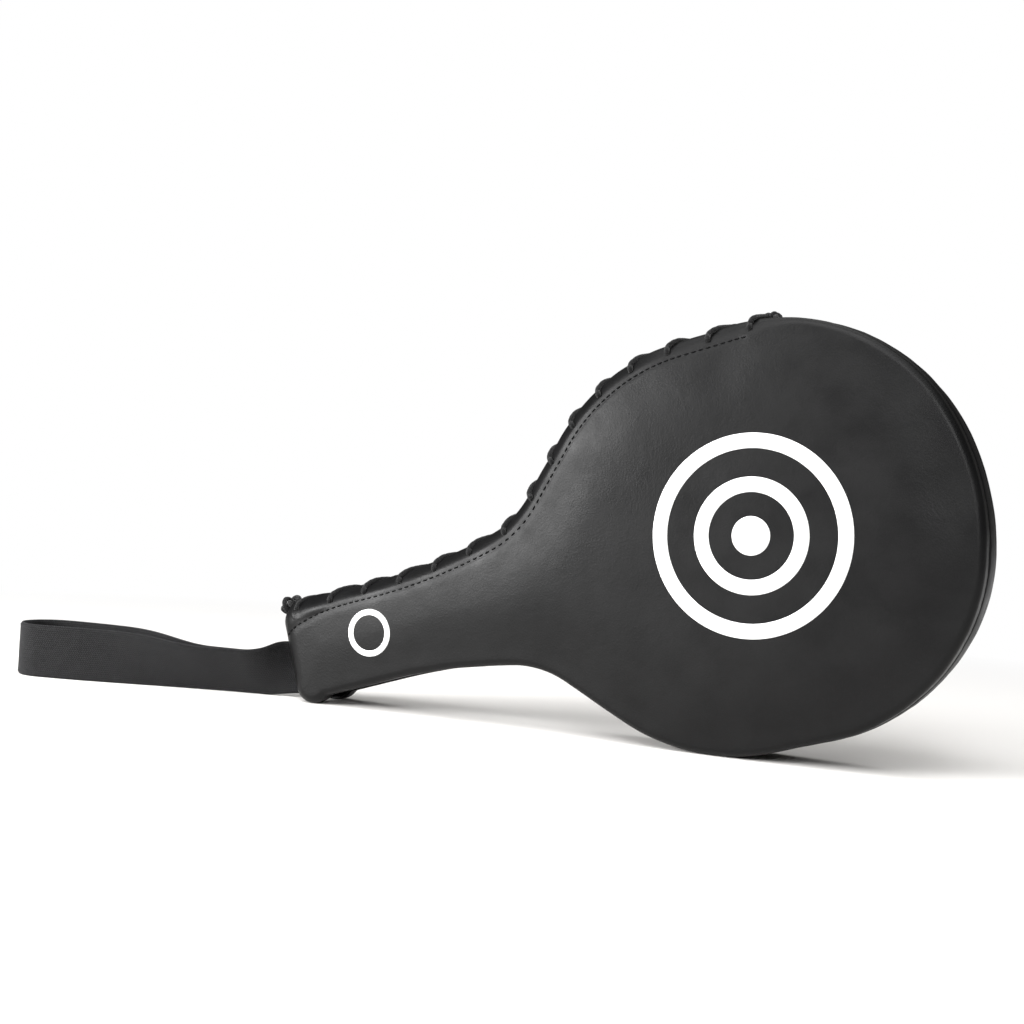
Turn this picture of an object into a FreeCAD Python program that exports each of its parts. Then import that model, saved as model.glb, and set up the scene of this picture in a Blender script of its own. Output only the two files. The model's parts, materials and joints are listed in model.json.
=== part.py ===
import FreeCAD, Part
import math
import os

# Kick paddle for martial arts and boxing: a racket-shaped striking pad with a laced leather
# cover and an elastic wrist loop.  Millimetres.
#
# The paddle stands on its lower edge: the striking faces look along -Y (front) and +Y (back),
# the head is at +X, the handle at -X, and the head's rim and the handle's heel rest on z = 0.
#
# Paddle coordinates, used for every outline: the origin is the centre of the round head,
# x runs along the paddle towards the tip, z runs across it towards the laced edge, and y is
# the thickness.  place_on_floor() turns and lifts them into the row's own frame.

SIZES = {
    # outline
    "head_half_width": 98.0,
    "tip_radius": 125.0,
    "shoulder_radius": 91.0,
    "head_run": 26.0,
    "flank_angle": 45.0,
    "neck_radius": 50.0,
    "waist_radius": 320.0,
    "waist_angle": 12.0,
    "handle_half_width": 25.5,
    "body_length": 360.0,
    "end_corner_radius": 10.6,
    "heel_radius": 11.0,
    "heel_drop": 2.6,
    "heel_crease_radius": 3.0,
    # layers through the thickness
    "body_thickness": 38.0,
    "leather": 1.6,
    "edge_round": 9.0,
    "band_width": 16.0,
    "slit_width": 9.0,
    "seam_width": 0.8,
    "board_thickness": 4.6,
    "board_inset": 9.0,
    "tongue_thickness": 1.2,
    "fit_gap": 0.15,
    "grip_split": 128.0,
    # lacing
    "lace_diameter": 3.0,
    "hole_diameter": 3.6,
    "hole_pitch": 20.6,
    "hole_count": 15.0,
    "first_hole": 12.0,
    "hole_margin": 4.0,
    # stitching and printed marks
    "stitch_inset": 8.3,
    "stitch_length": 2.4,
    "stitch_pitch": 3.6,
    "stitch_diameter": 0.5,
    "print_thickness": 0.2,
    "target_offset": 5.0,
    "target_outer": 47.0,
    "target_line": 7.0,
    "target_inner": 27.0,
    "target_dot": 9.0,
    "badge_distance": 52.0,
    "badge_outer": 12.0,
    "badge_line": 3.0,
    # wrist strap
    "webbing_width": 28.0,
    "webbing_thickness": 2.0,
    "strap_length": 165.0,
    "strap_gap": 34.0,
    "strap_yaw": 13.0,
    "strap_low_edge": -21.5,
    "strap_plies_run": 24.0,
    "tail_length": 32.0,
    "tail_out": 1.0,
    "hinge_gap": 0.5,
    "tack_diameter": 0.8,
}

doc = FreeCAD.newDocument("KickPaddle")
sheet = doc.addObject("Spreadsheet::Sheet", "Sizes")
for row, (alias, value) in enumerate(SIZES.items(), start=1):
    sheet.set(f"A{row}", alias)
    sheet.set(f"B{row}", str(value))
    sheet.setAlias(f"B{row}", alias)
doc.recompute()


def size(alias):
    return float(sheet.get(alias))


def point(x, z):
    return FreeCAD.Vector(x, z, 0)


LENGTHWAYS = FreeCAD.Vector(1, 0, 0)
THICKNESS = FreeCAD.Vector(0, 1, 0)
ACROSS = FreeCAD.Vector(0, 0, 1)

HALF_THICK = size("body_thickness") / 2
END_X = size("head_half_width") - size("body_length")
FACES = {"front": -1, "back": 1}

# ---------------------------------------------------------------------------
# Outline.  The centres of its arcs are worked out once; an inset keeps the centres, shrinks
# the rounds that bulge outwards and grows the hollow ones.


def polar(centre, radius, degrees):
    angle = math.radians(degrees)
    return point(centre.x + radius * math.cos(angle), centre.y + radius * math.sin(angle))


def arc(centre, radius, start, end):
    """Arc from one angle to another, in degrees, in either direction."""
    middle = polar(centre, radius, (start + end) / 2)
    return Part.Arc(polar(centre, radius, start), middle, polar(centre, radius, end))


def arc_centres():
    head = size("head_half_width")
    shoulder = size("shoulder_radius")
    tip = size("tip_radius")
    neck = size("neck_radius")
    waist = size("waist_radius")
    flank = math.radians(size("flank_angle"))
    blend = math.radians(size("waist_angle"))
    tip_angle = math.asin((head - shoulder) / (tip - shoulder))
    tip_x = head - tip
    shoulder_x = tip_x + (tip - shoulder) * math.cos(tip_angle)
    flank_x = shoulder_x - size("head_run")
    flank_end = point(flank_x - head * math.sin(flank), head * math.cos(flank))
    neck_drop = neck * (math.cos(blend) - math.cos(flank))
    waist_drop = waist * (1 - math.cos(blend))
    straight = flank_end.y - size("handle_half_width") - neck_drop - waist_drop
    neck_start = point(flank_end.x - straight / math.tan(flank), flank_end.y - straight)
    neck_centre = point(neck_start.x - neck * math.sin(flank), neck_start.y + neck * math.cos(flank))
    reach = waist - neck
    waist_centre = point(
        neck_centre.x - reach * math.sin(blend), neck_centre.y + reach * math.cos(blend)
    )
    return tip_angle, tip_x, shoulder_x, flank_x, neck_centre, waist_centre


TIP_ANGLE, TIP_X, SHOULDER_X, FLANK_X, NECK, WAIST = arc_centres()
CORNER = point(
    END_X + size("end_corner_radius"), size("handle_half_width") - size("end_corner_radius")
)
HEEL = point(
    END_X + size("heel_radius"),
    size("heel_radius") - size("handle_half_width") - size("heel_drop"),
)


def crease_centre():
    """Centre of the small hollow round where the heel meets the handle's lower edge."""
    hollow = size("heel_crease_radius")
    height = -size("handle_half_width") - hollow
    across = HEEL.y - height
    along = math.sqrt((size("heel_radius") + hollow) ** 2 - across**2)
    return point(HEEL.x + along, height)


CREASE = crease_centre()


def laced_edge(inset, from_corner=True):
    """Upper edge from the handle's end to the middle of the tip, as a list of curves."""
    head = size("head_half_width") - inset
    shoulder_height = size("head_half_width") - size("shoulder_radius")
    flank = 90 + size("flank_angle")
    blend = size("waist_angle")
    hollow_neck = size("neck_radius") + inset
    hollow_waist = size("waist_radius") + inset
    top = size("handle_half_width") - inset
    corner = size("end_corner_radius") - inset
    curves = []
    if from_corner:
        curves.append(arc(CORNER, corner, 180, 90))
    waist_foot = polar(WAIST, hollow_waist, 270)
    curves.append(Part.LineSegment(point(CORNER.x, top), waist_foot))
    curves.append(arc(WAIST, hollow_waist, 270, 270 + blend))
    neck_arc = arc(NECK, hollow_neck, 270 + blend, 270 + size("flank_angle"))
    curves.append(neck_arc)
    flank_centre = point(FLANK_X, 0)
    curves.append(Part.LineSegment(neck_arc.EndPoint, polar(flank_centre, head, flank)))
    curves.append(arc(flank_centre, head, flank, 90))
    curves.append(Part.LineSegment(point(FLANK_X, head), point(SHOULDER_X, head)))
    tip_degrees = math.degrees(TIP_ANGLE)
    shoulder_centre = point(SHOULDER_X, shoulder_height)
    curves.append(arc(shoulder_centre, size("shoulder_radius") - inset, 90, tip_degrees))
    curves.append(arc(point(TIP_X, 0), size("tip_radius") - inset, tip_degrees, 0))
    return curves


def mirrored(curves):
    """The same curves on the other side of the paddle's long axis, run backwards."""
    flipped = []
    for curve in reversed(curves):
        start = point(curve.EndPoint.x, -curve.EndPoint.y)
        end = point(curve.StartPoint.x, -curve.StartPoint.y)
        if isinstance(curve, Part.LineSegment):
            flipped.append(Part.LineSegment(start, end))
            continue
        inner = curve.value((curve.FirstParameter + curve.LastParameter) / 2)
        flipped.append(Part.Arc(start, point(inner.x, -inner.y), end))
    return flipped


def outline(inset):
    """The whole closed outline, inset by a distance, as a list of curves."""
    upper = laced_edge(inset)
    lower = mirrored(laced_edge(inset, from_corner=False))
    bottom = -size("handle_half_width") + inset
    heel = size("heel_radius") - inset
    to_crease = math.degrees(math.atan2(CREASE.y - HEEL.y, CREASE.x - HEEL.x))
    lower[-1] = Part.LineSegment(lower[-1].StartPoint, point(CREASE.x, bottom))
    hollow = arc(CREASE, size("heel_crease_radius") + inset, 90, 180 + to_crease)
    round_heel = arc(HEEL, heel, to_crease, -180)
    end_wall = Part.LineSegment(round_heel.EndPoint, upper[0].StartPoint)
    return upper + lower + [hollow, round_heel, end_wall]


# ---------------------------------------------------------------------------
# Placing the paddle on the floor: a line under the head's rim and the heel is level.


def resting_tilt():
    """Angle, in degrees, that sets the head's flank round and the heel on one level line."""
    along = FLANK_X - HEEL.x
    drop = size("head_half_width") - size("heel_radius")
    across = -HEEL.y
    reach = math.hypot(along, across)
    return math.degrees(math.asin(drop / reach) - math.atan2(across, along))


TILT = resting_tilt()
TURN = FreeCAD.Rotation(THICKNESS, -TILT)
AXIS = TURN.multVec(LENGTHWAYS)
EDGEWAYS = TURN.multVec(ACROSS)


def floor_height():
    """Height of the head's centre over the floor."""
    flank_centre = AXIS * FLANK_X
    return size("head_half_width") - flank_centre.z


LIFT = FreeCAD.Vector(0, 0, floor_height())
paddle_pieces = []
strap_pieces = []


def in_space(x, y, z):
    """Paddle coordinates to the row's frame, before the model is centred along X."""
    return TURN.multVec(FreeCAD.Vector(x, y, z)) + LIFT


# ---------------------------------------------------------------------------
# Builders.


def origin_plane(body, role):
    return next(feature for feature in body.Origin.OriginFeatures if feature.Role == role)


def add_sketch(body, name, wires, offset=None):
    """Sketch on the body's XZ plane; offset is an expression, positive towards the front."""
    sketch = body.newObject("Sketcher::SketchObject", name)
    sketch.AttachmentSupport = [(origin_plane(body, "XZ_Plane"), "")]
    sketch.MapMode = "FlatFace"
    for wire in wires:
        sketch.addGeometry(wire, False)
    if offset:
        sketch.setExpression("AttachmentOffset.Base.z", offset)
    return sketch


def new_body(label):
    body = doc.addObject("PartDesign::Body", label)
    body.Label = label
    return body


def add_pad(body, name, wires, length, side=0, offset="0 mm"):
    """Pad of some outlines; side is -1 towards the front, 1 towards the back, 0 both ways."""
    sketch = add_sketch(body, name + "_sketch", wires, offset)
    pad = body.newObject("PartDesign::Pad", name)
    pad.Profile = sketch
    pad.setExpression("Length", length)
    pad.Midplane = side == 0
    pad.Reversed = side > 0
    doc.recompute()
    return pad


def cut_through(body, name, wires, length="Sizes.body_thickness * 2"):
    """Pocket that cuts both ways from the middle plane, as deep as half of length each way."""
    before = body.Shape.Volume
    sketch = add_sketch(body, name + "_sketch", wires)
    pocket = body.newObject("PartDesign::Pocket", name)
    pocket.Profile = sketch
    pocket.setExpression("Length", length)
    pocket.Midplane = True
    doc.recompute()
    if body.Shape.Volume > before - 0.01:
        raise ValueError(f"{name} cut nothing")


def round_face(body, feature, depth, radius):
    """Fillet round every edge that lies at one depth of the thickness."""
    edges = []
    for number, edge in enumerate(feature.Shape.Edges, start=1):
        if edge.BoundBox.YLength < 1e-6 and abs(edge.BoundBox.YMin - depth) < 1e-6:
            edges.append(f"Edge{number}")
    fillet = body.newObject("PartDesign::Fillet", feature.Name + "_round")
    fillet.Base = (feature, edges)
    fillet.setExpression("Radius", radius)
    doc.recompute()


def polygon(corners):
    points = [point(x, z) for x, z in corners]
    return [Part.LineSegment(a, b) for a, b in zip(points, points[1:] + points[:1])]


def solid_piece(label, shape, placed):
    """A piece whose shape is made directly, kept with the pieces that place it."""
    piece = doc.addObject("Part::Feature", label)
    piece.Label = label
    piece.Shape = shape
    placed.append(piece)
    return piece


# ---------------------------------------------------------------------------
# Stations along the laced edge.

FAR = 2 * size("body_length")
LACE_REACH = size("first_hole") + size("hole_pitch") * (size("hole_count") - 1)


def edge_stations(inset, distances):
    """Points and directions at some distances along the laced edge from the handle's end."""
    edges = [curve.toShape() for curve in laced_edge(inset, from_corner=False)]
    lead = size("end_corner_radius")
    found = []
    for distance in distances:
        left = distance - lead
        for edge in edges:
            if left <= edge.Length:
                break
            left -= edge.Length
        parameter = edge.getParameterByLength(left)
        place = edge.valueAt(parameter)
        along = edge.tangentAt(parameter)
        found.append((place, along, FreeCAD.Vector(-along.y, along.x, 0)))
    return found


holes = edge_stations(
    0.0,
    [size("first_hole") + size("hole_pitch") * n for n in range(int(size("hole_count")))],
)
SPLIT_X = holes[-1][0].x + 2 * size("hole_margin")

# Everything above this line, and the handle's end above the heel, has no rim band.
BAND_END = size("strap_low_edge") - 1.0
LACED_SIDE = [
    (END_X - FAR, BAND_END),
    (END_X + 2 * size("heel_radius"), BAND_END),
    (END_X + 2 * size("heel_radius"), 0),
    (SPLIT_X, 0),
    (SPLIT_X, FAR),
    (END_X - FAR, FAR),
]
TONGUE_SIDE = [
    (CORNER.x, 0),
    (SPLIT_X, 0),
    (SPLIT_X, FAR),
    (CORNER.x, FAR),
]
EVERYTHING = [(-2 * FAR, -2 * FAR), (2 * FAR, -2 * FAR), (2 * FAR, 2 * FAR), (-2 * FAR, 2 * FAR)]

# ---------------------------------------------------------------------------
# Printed marks: a plain ring target on each striking face and a small ring on the grip.  Each
# has its centre and its radii from the outside in, two for a ring and one for a dot.

PRINT_GAP = size("fit_gap") / 3
target_centre = point(-size("target_offset"), 0)
badge_centre = point(END_X + size("badge_distance"), 0)
MARKS = {
    "target_ring": (
        target_centre, [size("target_outer"), size("target_outer") - size("target_line")]
    ),
    "target_inner_ring": (
        target_centre, [size("target_inner"), size("target_inner") - size("target_line")]
    ),
    "target_dot": (target_centre, [size("target_dot")]),
    "grip_badge": (badge_centre, [size("badge_outer"), size("badge_outer") - size("badge_line")]),
}


def mark_recess(side, centre, radii):
    """What a printed mark leaves out of the leather, so that it lies flush with the face."""
    depth = size("print_thickness") + PRINT_GAP
    start = FreeCAD.Vector(centre.x, side * (HALF_THICK - depth), centre.y)
    outward = THICKNESS * side
    recess = Part.makeCylinder(radii[0] + PRINT_GAP, 2 * depth, start, outward)
    for inner in radii[1:]:
        recess = recess.cut(Part.makeCylinder(inner - PRINT_GAP, 2 * depth, start, outward))
    return recess


# ---------------------------------------------------------------------------
# Covers: a shell of leather with rounded edges.  Its wall turns in past the rim band's seam
# on the laced side, where it ends in a hem with the lace holes.

SEAM_DEPTH = "Sizes.band_width + Sizes.seam_width * 2"


def hole_plugs(side):
    depth = side * (size("slit_width") / 2 + size("hole_margin"))
    plugs = []
    for place, along, outward in holes:
        direction = FreeCAD.Vector(outward.x, 0, outward.y)
        centre = FreeCAD.Vector(place.x, depth, place.y)
        start = centre - direction * (size("leather") * 2)
        plugs.append(
            Part.makeCylinder(size("hole_diameter") / 2, size("leather") * 4, start, direction)
        )
    return plugs


def make_cover(name, side):
    offset = f"{-side} * Sizes.slit_width / 2"
    outer = new_body(name + "_outer")
    pad = add_pad(
        outer,
        name + "_skin",
        [outline(0.0)],
        "(Sizes.body_thickness - Sizes.slit_width) / 2",
        side,
        offset,
    )
    round_face(outer, pad, side * HALF_THICK, "Sizes.edge_round")
    rim_side = [polygon(EVERYTHING), polygon(LACED_SIDE)]
    cut_through(outer, name + "_seam_cut", rim_side, SEAM_DEPTH)
    inner = new_body(name + "_inner")
    cavity = add_pad(
        inner,
        name + "_cavity",
        [outline(size("leather"))],
        "Sizes.body_thickness / 2 - Sizes.leather",
        side,
    )
    inner_depth = side * (HALF_THICK - size("leather"))
    round_face(inner, cavity, inner_depth, "Sizes.edge_round - Sizes.leather")
    shell = doc.addObject("Part::Cut", name + "_shell")
    shell.Base = outer
    shell.Tool = inner
    drill = doc.addObject("Part::Compound", name + "_holes")
    for number, plug in enumerate(hole_plugs(side), start=1):
        bit = doc.addObject("Part::Feature", f"{name}_hole_{number}")
        bit.Shape = plug
        drill.Links = drill.Links + [bit]
    for mark, (centre, radii) in MARKS.items():
        bit = doc.addObject("Part::Feature", f"{name}_recess_{mark}")
        bit.Shape = mark_recess(side, centre, radii)
        drill.Links = drill.Links + [bit]
    cover = doc.addObject("Part::Cut", name)
    cover.Label = name
    cover.Base = shell
    cover.Tool = drill
    doc.recompute()
    paddle_pieces.append(cover)


for face, side in FACES.items():
    make_cover(face + "_cover", side)

# ---------------------------------------------------------------------------
# Strips that follow the rim: the gusset band, its two seams and the tongue under the lacing.


def make_strip(label, outer_inset, inner_inset, length, removed, side=0, offset="0 mm"):
    body = new_body(label)
    rings = [outline(outer_inset), outline(inner_inset)]
    add_pad(body, label + "_ring", rings, length, side, offset)
    cut_through(body, label + "_ends", removed)
    paddle_pieces.append(body)


make_strip("rim_band", 0.0, size("leather"), "Sizes.band_width", [polygon(LACED_SIDE)])
for face, side in FACES.items():
    make_strip(
        face + "_rim_seam",
        size("fit_gap"),
        size("fit_gap") + size("seam_width"),
        "Sizes.seam_width - 2 * Sizes.fit_gap",
        [polygon(LACED_SIDE)],
        side,
        f"{-side} * (Sizes.band_width / 2 + Sizes.fit_gap)",
    )
TONGUE_INSET = size("leather") + size("fit_gap")
make_strip(
    "lace_tongue",
    TONGUE_INSET,
    TONGUE_INSET + size("tongue_thickness"),
    "Sizes.body_thickness - 2 * Sizes.edge_round + 4 * Sizes.fit_gap",
    [polygon(EVERYTHING), polygon(TONGUE_SIDE)],
)

# ---------------------------------------------------------------------------
# Inside: a stiff board, a foam slab each side of it in the head and a firmer one in the grip.

FOAM_INSET = TONGUE_INSET + size("tongue_thickness") + size("fit_gap")
INSIDE_END = END_X + size("leather") + size("fit_gap") * 2 + size("leather")
GRIP_X = -size("grip_split")

board = new_body("core_board")
add_pad(board, "board_plate", [outline(size("board_inset"))], "Sizes.board_thickness")
cut_through(
    board,
    "board_tail_gap",
    [polygon([(-FAR, -FAR), (END_X + size("tail_length") + 2, -FAR),
              (END_X + size("tail_length") + 2, FAR), (-FAR, FAR)])],
)
paddle_pieces.append(board)


def make_foam(label, side, removed):
    body = new_body(label)
    slab = add_pad(
        body,
        label + "_slab",
        [outline(FOAM_INSET)],
        "(Sizes.body_thickness - Sizes.board_thickness) / 2 - Sizes.leather - 2 * Sizes.fit_gap",
        side,
        f"{-side} * (Sizes.board_thickness / 2 + Sizes.fit_gap)",
    )
    depth = side * (HALF_THICK - size("leather") - size("fit_gap"))
    round_face(body, slab, depth, "Sizes.edge_round - Sizes.leather - 2 * Sizes.fit_gap")
    cut_through(body, label + "_split", removed)
    paddle_pieces.append(body)


for face, side in FACES.items():
    gap = size("fit_gap") / 2
    below = [(-FAR, -FAR), (GRIP_X + gap, -FAR), (GRIP_X + gap, FAR), (-FAR, FAR)]
    above = [(GRIP_X - gap, -FAR), (FAR, -FAR), (FAR, FAR), (GRIP_X - gap, FAR)]
    past_end = [(-FAR, -FAR), (INSIDE_END, -FAR), (INSIDE_END, FAR), (-FAR, FAR)]
    make_foam(face + "_head_foam", side, [polygon(below)])
    make_foam(face + "_grip_foam", side, [polygon(above), polygon(past_end)])

# ---------------------------------------------------------------------------
# Handle's end: a leather panel inside the open end, with a slot that the strap's tail fills.

TAIL_HALF = size("webbing_thickness")
TAIL_LOW = size("strap_low_edge")
TAIL_HIGH = TAIL_LOW + size("webbing_width")


def box(x, y, z):
    """Box from three pairs of low and high values."""
    corner = FreeCAD.Vector(x[0], y[0], z[0])
    return Part.makeBox(x[1] - x[0], y[1] - y[0], z[1] - z[0], corner)


gap = size("fit_gap")
panel_x = END_X + size("leather") + gap
panel_half = HALF_THICK - size("edge_round")


def upright_slab(inset, half_depth):
    """The outline at some inset, as a slab that reaches half_depth each side of the middle."""
    edges = [curve.toShape() for curve in outline(inset)]
    face = Part.Face(Part.Wire(edges))
    face.rotate(FreeCAD.Vector(), LENGTHWAYS, 90)
    face.translate(THICKNESS * half_depth)
    return face.extrude(THICKNESS * (-2 * half_depth))


end_zone = box((panel_x, panel_x + size("leather")), (-FAR, FAR), (-FAR, FAR))
end_panel = upright_slab(size("leather") + gap, panel_half).common(end_zone)
slot = box(
    (panel_x - 1, panel_x + size("leather") + 1),
    (-TAIL_HALF - gap, TAIL_HALF + gap),
    (TAIL_LOW - gap, TAIL_HIGH + gap),
)
solid_piece("handle_end_panel", end_panel.cut(slot), paddle_pieces)
tail = box(
    (END_X - size("tail_out"), END_X + size("tail_length")),
    (-TAIL_HALF, TAIL_HALF),
    (TAIL_LOW, TAIL_HIGH),
)
solid_piece("strap_tail", tail, paddle_pieces)

TACK_ROWS = 4
TACKS_IN_ROW = 6


def tack_threads():
    """Rows of thread that go through both plies of the tail."""
    threads = []
    for row in range(TACK_ROWS):
        x = END_X + size("tail_length") * (row + 1.5) / (TACK_ROWS + 2)
        for place in range(TACKS_IN_ROW):
            z = TAIL_LOW + size("webbing_width") * (place + 0.5) / TACKS_IN_ROW
            start = FreeCAD.Vector(x, -TAIL_HALF - gap / 2, z)
            reach = 2 * TAIL_HALF + gap
            threads.append(Part.makeCylinder(size("tack_diameter") / 2, reach, start, THICKNESS))
    return Part.makeCompound(threads)


solid_piece("strap_tack_thread", tack_threads(), paddle_pieces)

# ---------------------------------------------------------------------------
# Lacing: one cord laced both ways from the handle's end.  Each half runs over the slit from
# a hole in one hem to the next hole in the other, and the half on top humps over the other.

CORD = size("lace_diameter") / 2
CORD_GAP = 0.5
CORD_BEND = 3.5
HOLE_DEPTH = size("slit_width") / 2 + size("hole_margin")


def over_edge(station, y, height):
    place, along, outward = station
    return FreeCAD.Vector(place.x + outward.x * height, y, place.y + outward.y * height)


def bent_path(points, bend):
    """Straight runs joined by tangent arcs of one radius."""
    edges = []
    start = points[0]
    for before, corner, after in zip(points, points[1:], points[2:]):
        into = (corner - before).normalize()
        away = (after - corner).normalize()
        half_turn = into.getAngle(away) / 2
        setback = bend * math.tan(half_turn)
        to_middle = (away - into).normalize()
        centre = corner + to_middle * (bend / math.cos(half_turn))
        leave = corner - into * setback
        join = corner + away * setback
        edges.append(Part.LineSegment(start, leave).toShape())
        edges.append(Part.Arc(leave, centre - to_middle * bend, join).toShape())
        start = join
    edges.append(Part.LineSegment(start, points[-1]).toShape())
    return Part.Wire(edges)


def cord_through(points):
    """Round cord along a bent path, checked against its section times its length."""
    path = bent_path(points, CORD_BEND)
    ring = Part.makeCircle(CORD, points[0], points[1] - points[0])
    cord = path.makePipeShell([Part.Wire(ring)], True, False)
    expected = math.pi * CORD**2 * path.Length
    if abs(cord.Volume / expected - 1) > 0.02:
        raise ValueError(f"cord volume {cord.Volume:.1f}, expected {expected:.1f}")
    return cord


def lace_half(first_side, hump):
    """One half of the lace, from hole to hole across the slit."""
    middles = edge_stations(
        0.0,
        [size("first_hole") + size("hole_pitch") * (n + 0.5) for n in range(len(holes) - 1)],
    )
    points = []
    side = first_side
    for number, station in enumerate(holes):
        points.append(over_edge(station, side * HOLE_DEPTH, CORD + CORD_GAP))
        if hump and number < len(middles):
            points.append(over_edge(middles[number], 0, CORD + CORD_GAP + hump))
        side = -side
    return cord_through(points)


under_half = lace_half(-1, 0.0)
over_half = lace_half(1, size("lace_diameter") + CORD_GAP)
solid_piece("lace", Part.makeCompound([under_half, over_half]), paddle_pieces)

KNOT_TURNS = 3


def knot(station, length):
    """A short stack of lace turns wound round each other, lying along the slit."""
    along = FreeCAD.Vector(station[1].x, 0, station[1].y)
    centre = over_edge(station, 0, KNOT_HEIGHT)
    turns = []
    for number in range(KNOT_TURNS):
        shift = (number / (KNOT_TURNS - 1) - 0.5) * length
        turns.append(Part.makeTorus(CORD * 1.25, CORD, centre + along * shift, along))
    turns.append(Part.makeCylinder(CORD, length, centre - along * (length / 2), along))
    return turns[0].fuse(turns[1:])


def corner_station(degrees):
    """Station on the rounded corner between the handle's end and the laced edge."""
    place = polar(CORNER, size("end_corner_radius"), degrees)
    outward = polar(point(0, 0), 1.0, degrees)
    return place, FreeCAD.Vector(outward.y, -outward.x, 0), outward


KNOT_HEIGHT = CORD * 2.25 + CORD_GAP
KNOT_CORNER = 122.0
handle_knot = knot(corner_station(KNOT_CORNER), size("lace_diameter") * 1.2)
solid_piece("handle_lace_knot", handle_knot, paddle_pieces)
finish = edge_stations(0.0, [LACE_REACH + size("lace_diameter") * 2.5])[0]
head_knot = knot(finish, size("lace_diameter"))
solid_piece("head_lace_knot", head_knot, paddle_pieces)

# ---------------------------------------------------------------------------
# Topstitching: a dashed line of thread on each face, a little inside the laced edge.



def make_topstitch(label, side):
    count = int((LACE_REACH - size("end_corner_radius")) / size("stitch_pitch"))
    height = side * (HALF_THICK + size("stitch_diameter") / 2 + size("fit_gap"))
    dashes = []
    for number in range(count):
        distance = size("end_corner_radius") + size("stitch_pitch") * (number + 0.5)
        place, along, _ = edge_stations(size("stitch_inset"), [distance])[0]
        centre = FreeCAD.Vector(place.x, height, place.y)
        direction = FreeCAD.Vector(along.x, 0, along.y)
        start = centre - direction * (size("stitch_length") / 2)
        radius = size("stitch_diameter") / 2
        dashes.append(Part.makeCylinder(radius, size("stitch_length"), start, direction))
    solid_piece(label, Part.makeCompound(dashes), paddle_pieces)


for face, side in FACES.items():
    make_topstitch(face + "_topstitch", side)

# ---------------------------------------------------------------------------
# Printed marks, flush with the faces.


def circle(centre, radius):
    return Part.Circle(centre, FreeCAD.Vector(0, 0, 1), radius)


def make_mark(label, side, centre, radii):
    body = new_body(label)
    offset = f"{-side} * (Sizes.body_thickness / 2 - Sizes.print_thickness)"
    rings = [[circle(centre, radius)] for radius in radii]
    add_pad(body, label + "_film", rings, "Sizes.print_thickness", side, offset)
    paddle_pieces.append(body)


for face, side in FACES.items():
    for mark, (centre, radii) in MARKS.items():
        make_mark(f"{face}_{mark}", side, centre, radii)

# ---------------------------------------------------------------------------
# Wrist strap: one elastic webbing loop that stands on its edge.  In plan it is a drop: two
# strands leave the root together, part slowly and close in a round bight.  The drop is drawn
# with its root at the origin, opening along +X of its own frame.


def drop_outline(outside):
    """Closed plan outline of the loop's outer or inner side."""
    ply = size("webbing_thickness")
    plies_end = size("strap_plies_run")
    inner_bight = size("strap_gap") / 2
    bight = inner_bight + ply
    centre_x = size("strap_length") - bight
    run = centre_x - plies_end
    spread = math.asin(bight / math.hypot(run, ply)) - math.atan2(ply, run)
    centre = point(centre_x, 0)
    touch = 90 + math.degrees(spread)
    radius = bight if outside else inner_bight
    side_end = polar(centre, radius, touch)
    lower_end = point(side_end.x, -side_end.y)
    if outside:
        corners = [point(plies_end, -ply), point(-plies_end, -ply)]
        corners += [point(-plies_end, ply), point(plies_end, ply)]
    else:
        corners = [point(centre_x - inner_bight / math.sin(spread), 0)]
    path = [lower_end] + corners + [side_end]
    edges = [Part.LineSegment(a, b).toShape() for a, b in zip(path, path[1:])]
    edges.append(arc(centre, radius, touch, -touch).toShape())
    return Part.Face(Part.Wire(edges))


def strap_axes():
    """Hinge point at the strap's low edge, and the strap's directions: along, over and up."""
    ply = size("webbing_thickness")
    hinge_x = END_X - size("tail_out") - size("hinge_gap") - ply
    root = in_space(hinge_x, 0, TAIL_LOW)
    yaw = math.radians(size("strap_yaw"))
    tilt = math.radians(TILT)
    swung = FreeCAD.Rotation(EDGEWAYS, size("strap_yaw")).multVec(AXIS * -1)
    lean = (size("strap_gap") / 2 + ply) * math.sin(tilt) * math.sin(yaw)
    fall = root.z - lean
    rise = math.hypot(math.sin(tilt) * math.cos(yaw), math.cos(tilt))
    level = math.atan2(math.sin(tilt) * math.cos(yaw), math.cos(tilt))
    pitch = level - math.asin(fall / (size("strap_length") * rise))
    along = swung * math.cos(pitch) + EDGEWAYS * math.sin(pitch)
    up = EDGEWAYS * math.cos(pitch) - swung * math.sin(pitch)
    return root, along, up.cross(along), up, pitch


ROOT, STRAP_ALONG, STRAP_OVER, STRAP_UP, STRAP_PITCH = strap_axes()
STRAP_PLACE = FreeCAD.Placement(ROOT, FreeCAD.Rotation(STRAP_ALONG, STRAP_OVER, STRAP_UP, "XZY"))


def make_strap():
    ply = size("webbing_thickness")
    width = size("webbing_width")
    loop = drop_outline(True).cut(drop_outline(False)).extrude(ACROSS * width)
    hinge_line = FreeCAD.Vector(math.sin(STRAP_PITCH), 0, math.cos(STRAP_PITCH))
    behind = Part.makeBox(2 * width, 2 * width, 4 * width)
    behind.translate(FreeCAD.Vector(-2 * width, -width, -2 * width))
    behind.rotate(FreeCAD.Vector(), THICKNESS, math.degrees(STRAP_PITCH))
    knuckle = Part.makeCylinder(ply, width, FreeCAD.Vector(), hinge_line)
    return loop.cut(behind).fuse(knuckle).removeSplitter()


solid_piece("wrist_strap", make_strap(), strap_pieces)

# ---------------------------------------------------------------------------
# Place every piece in the row's frame: centred along X and Y, standing on z = 0.


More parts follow.
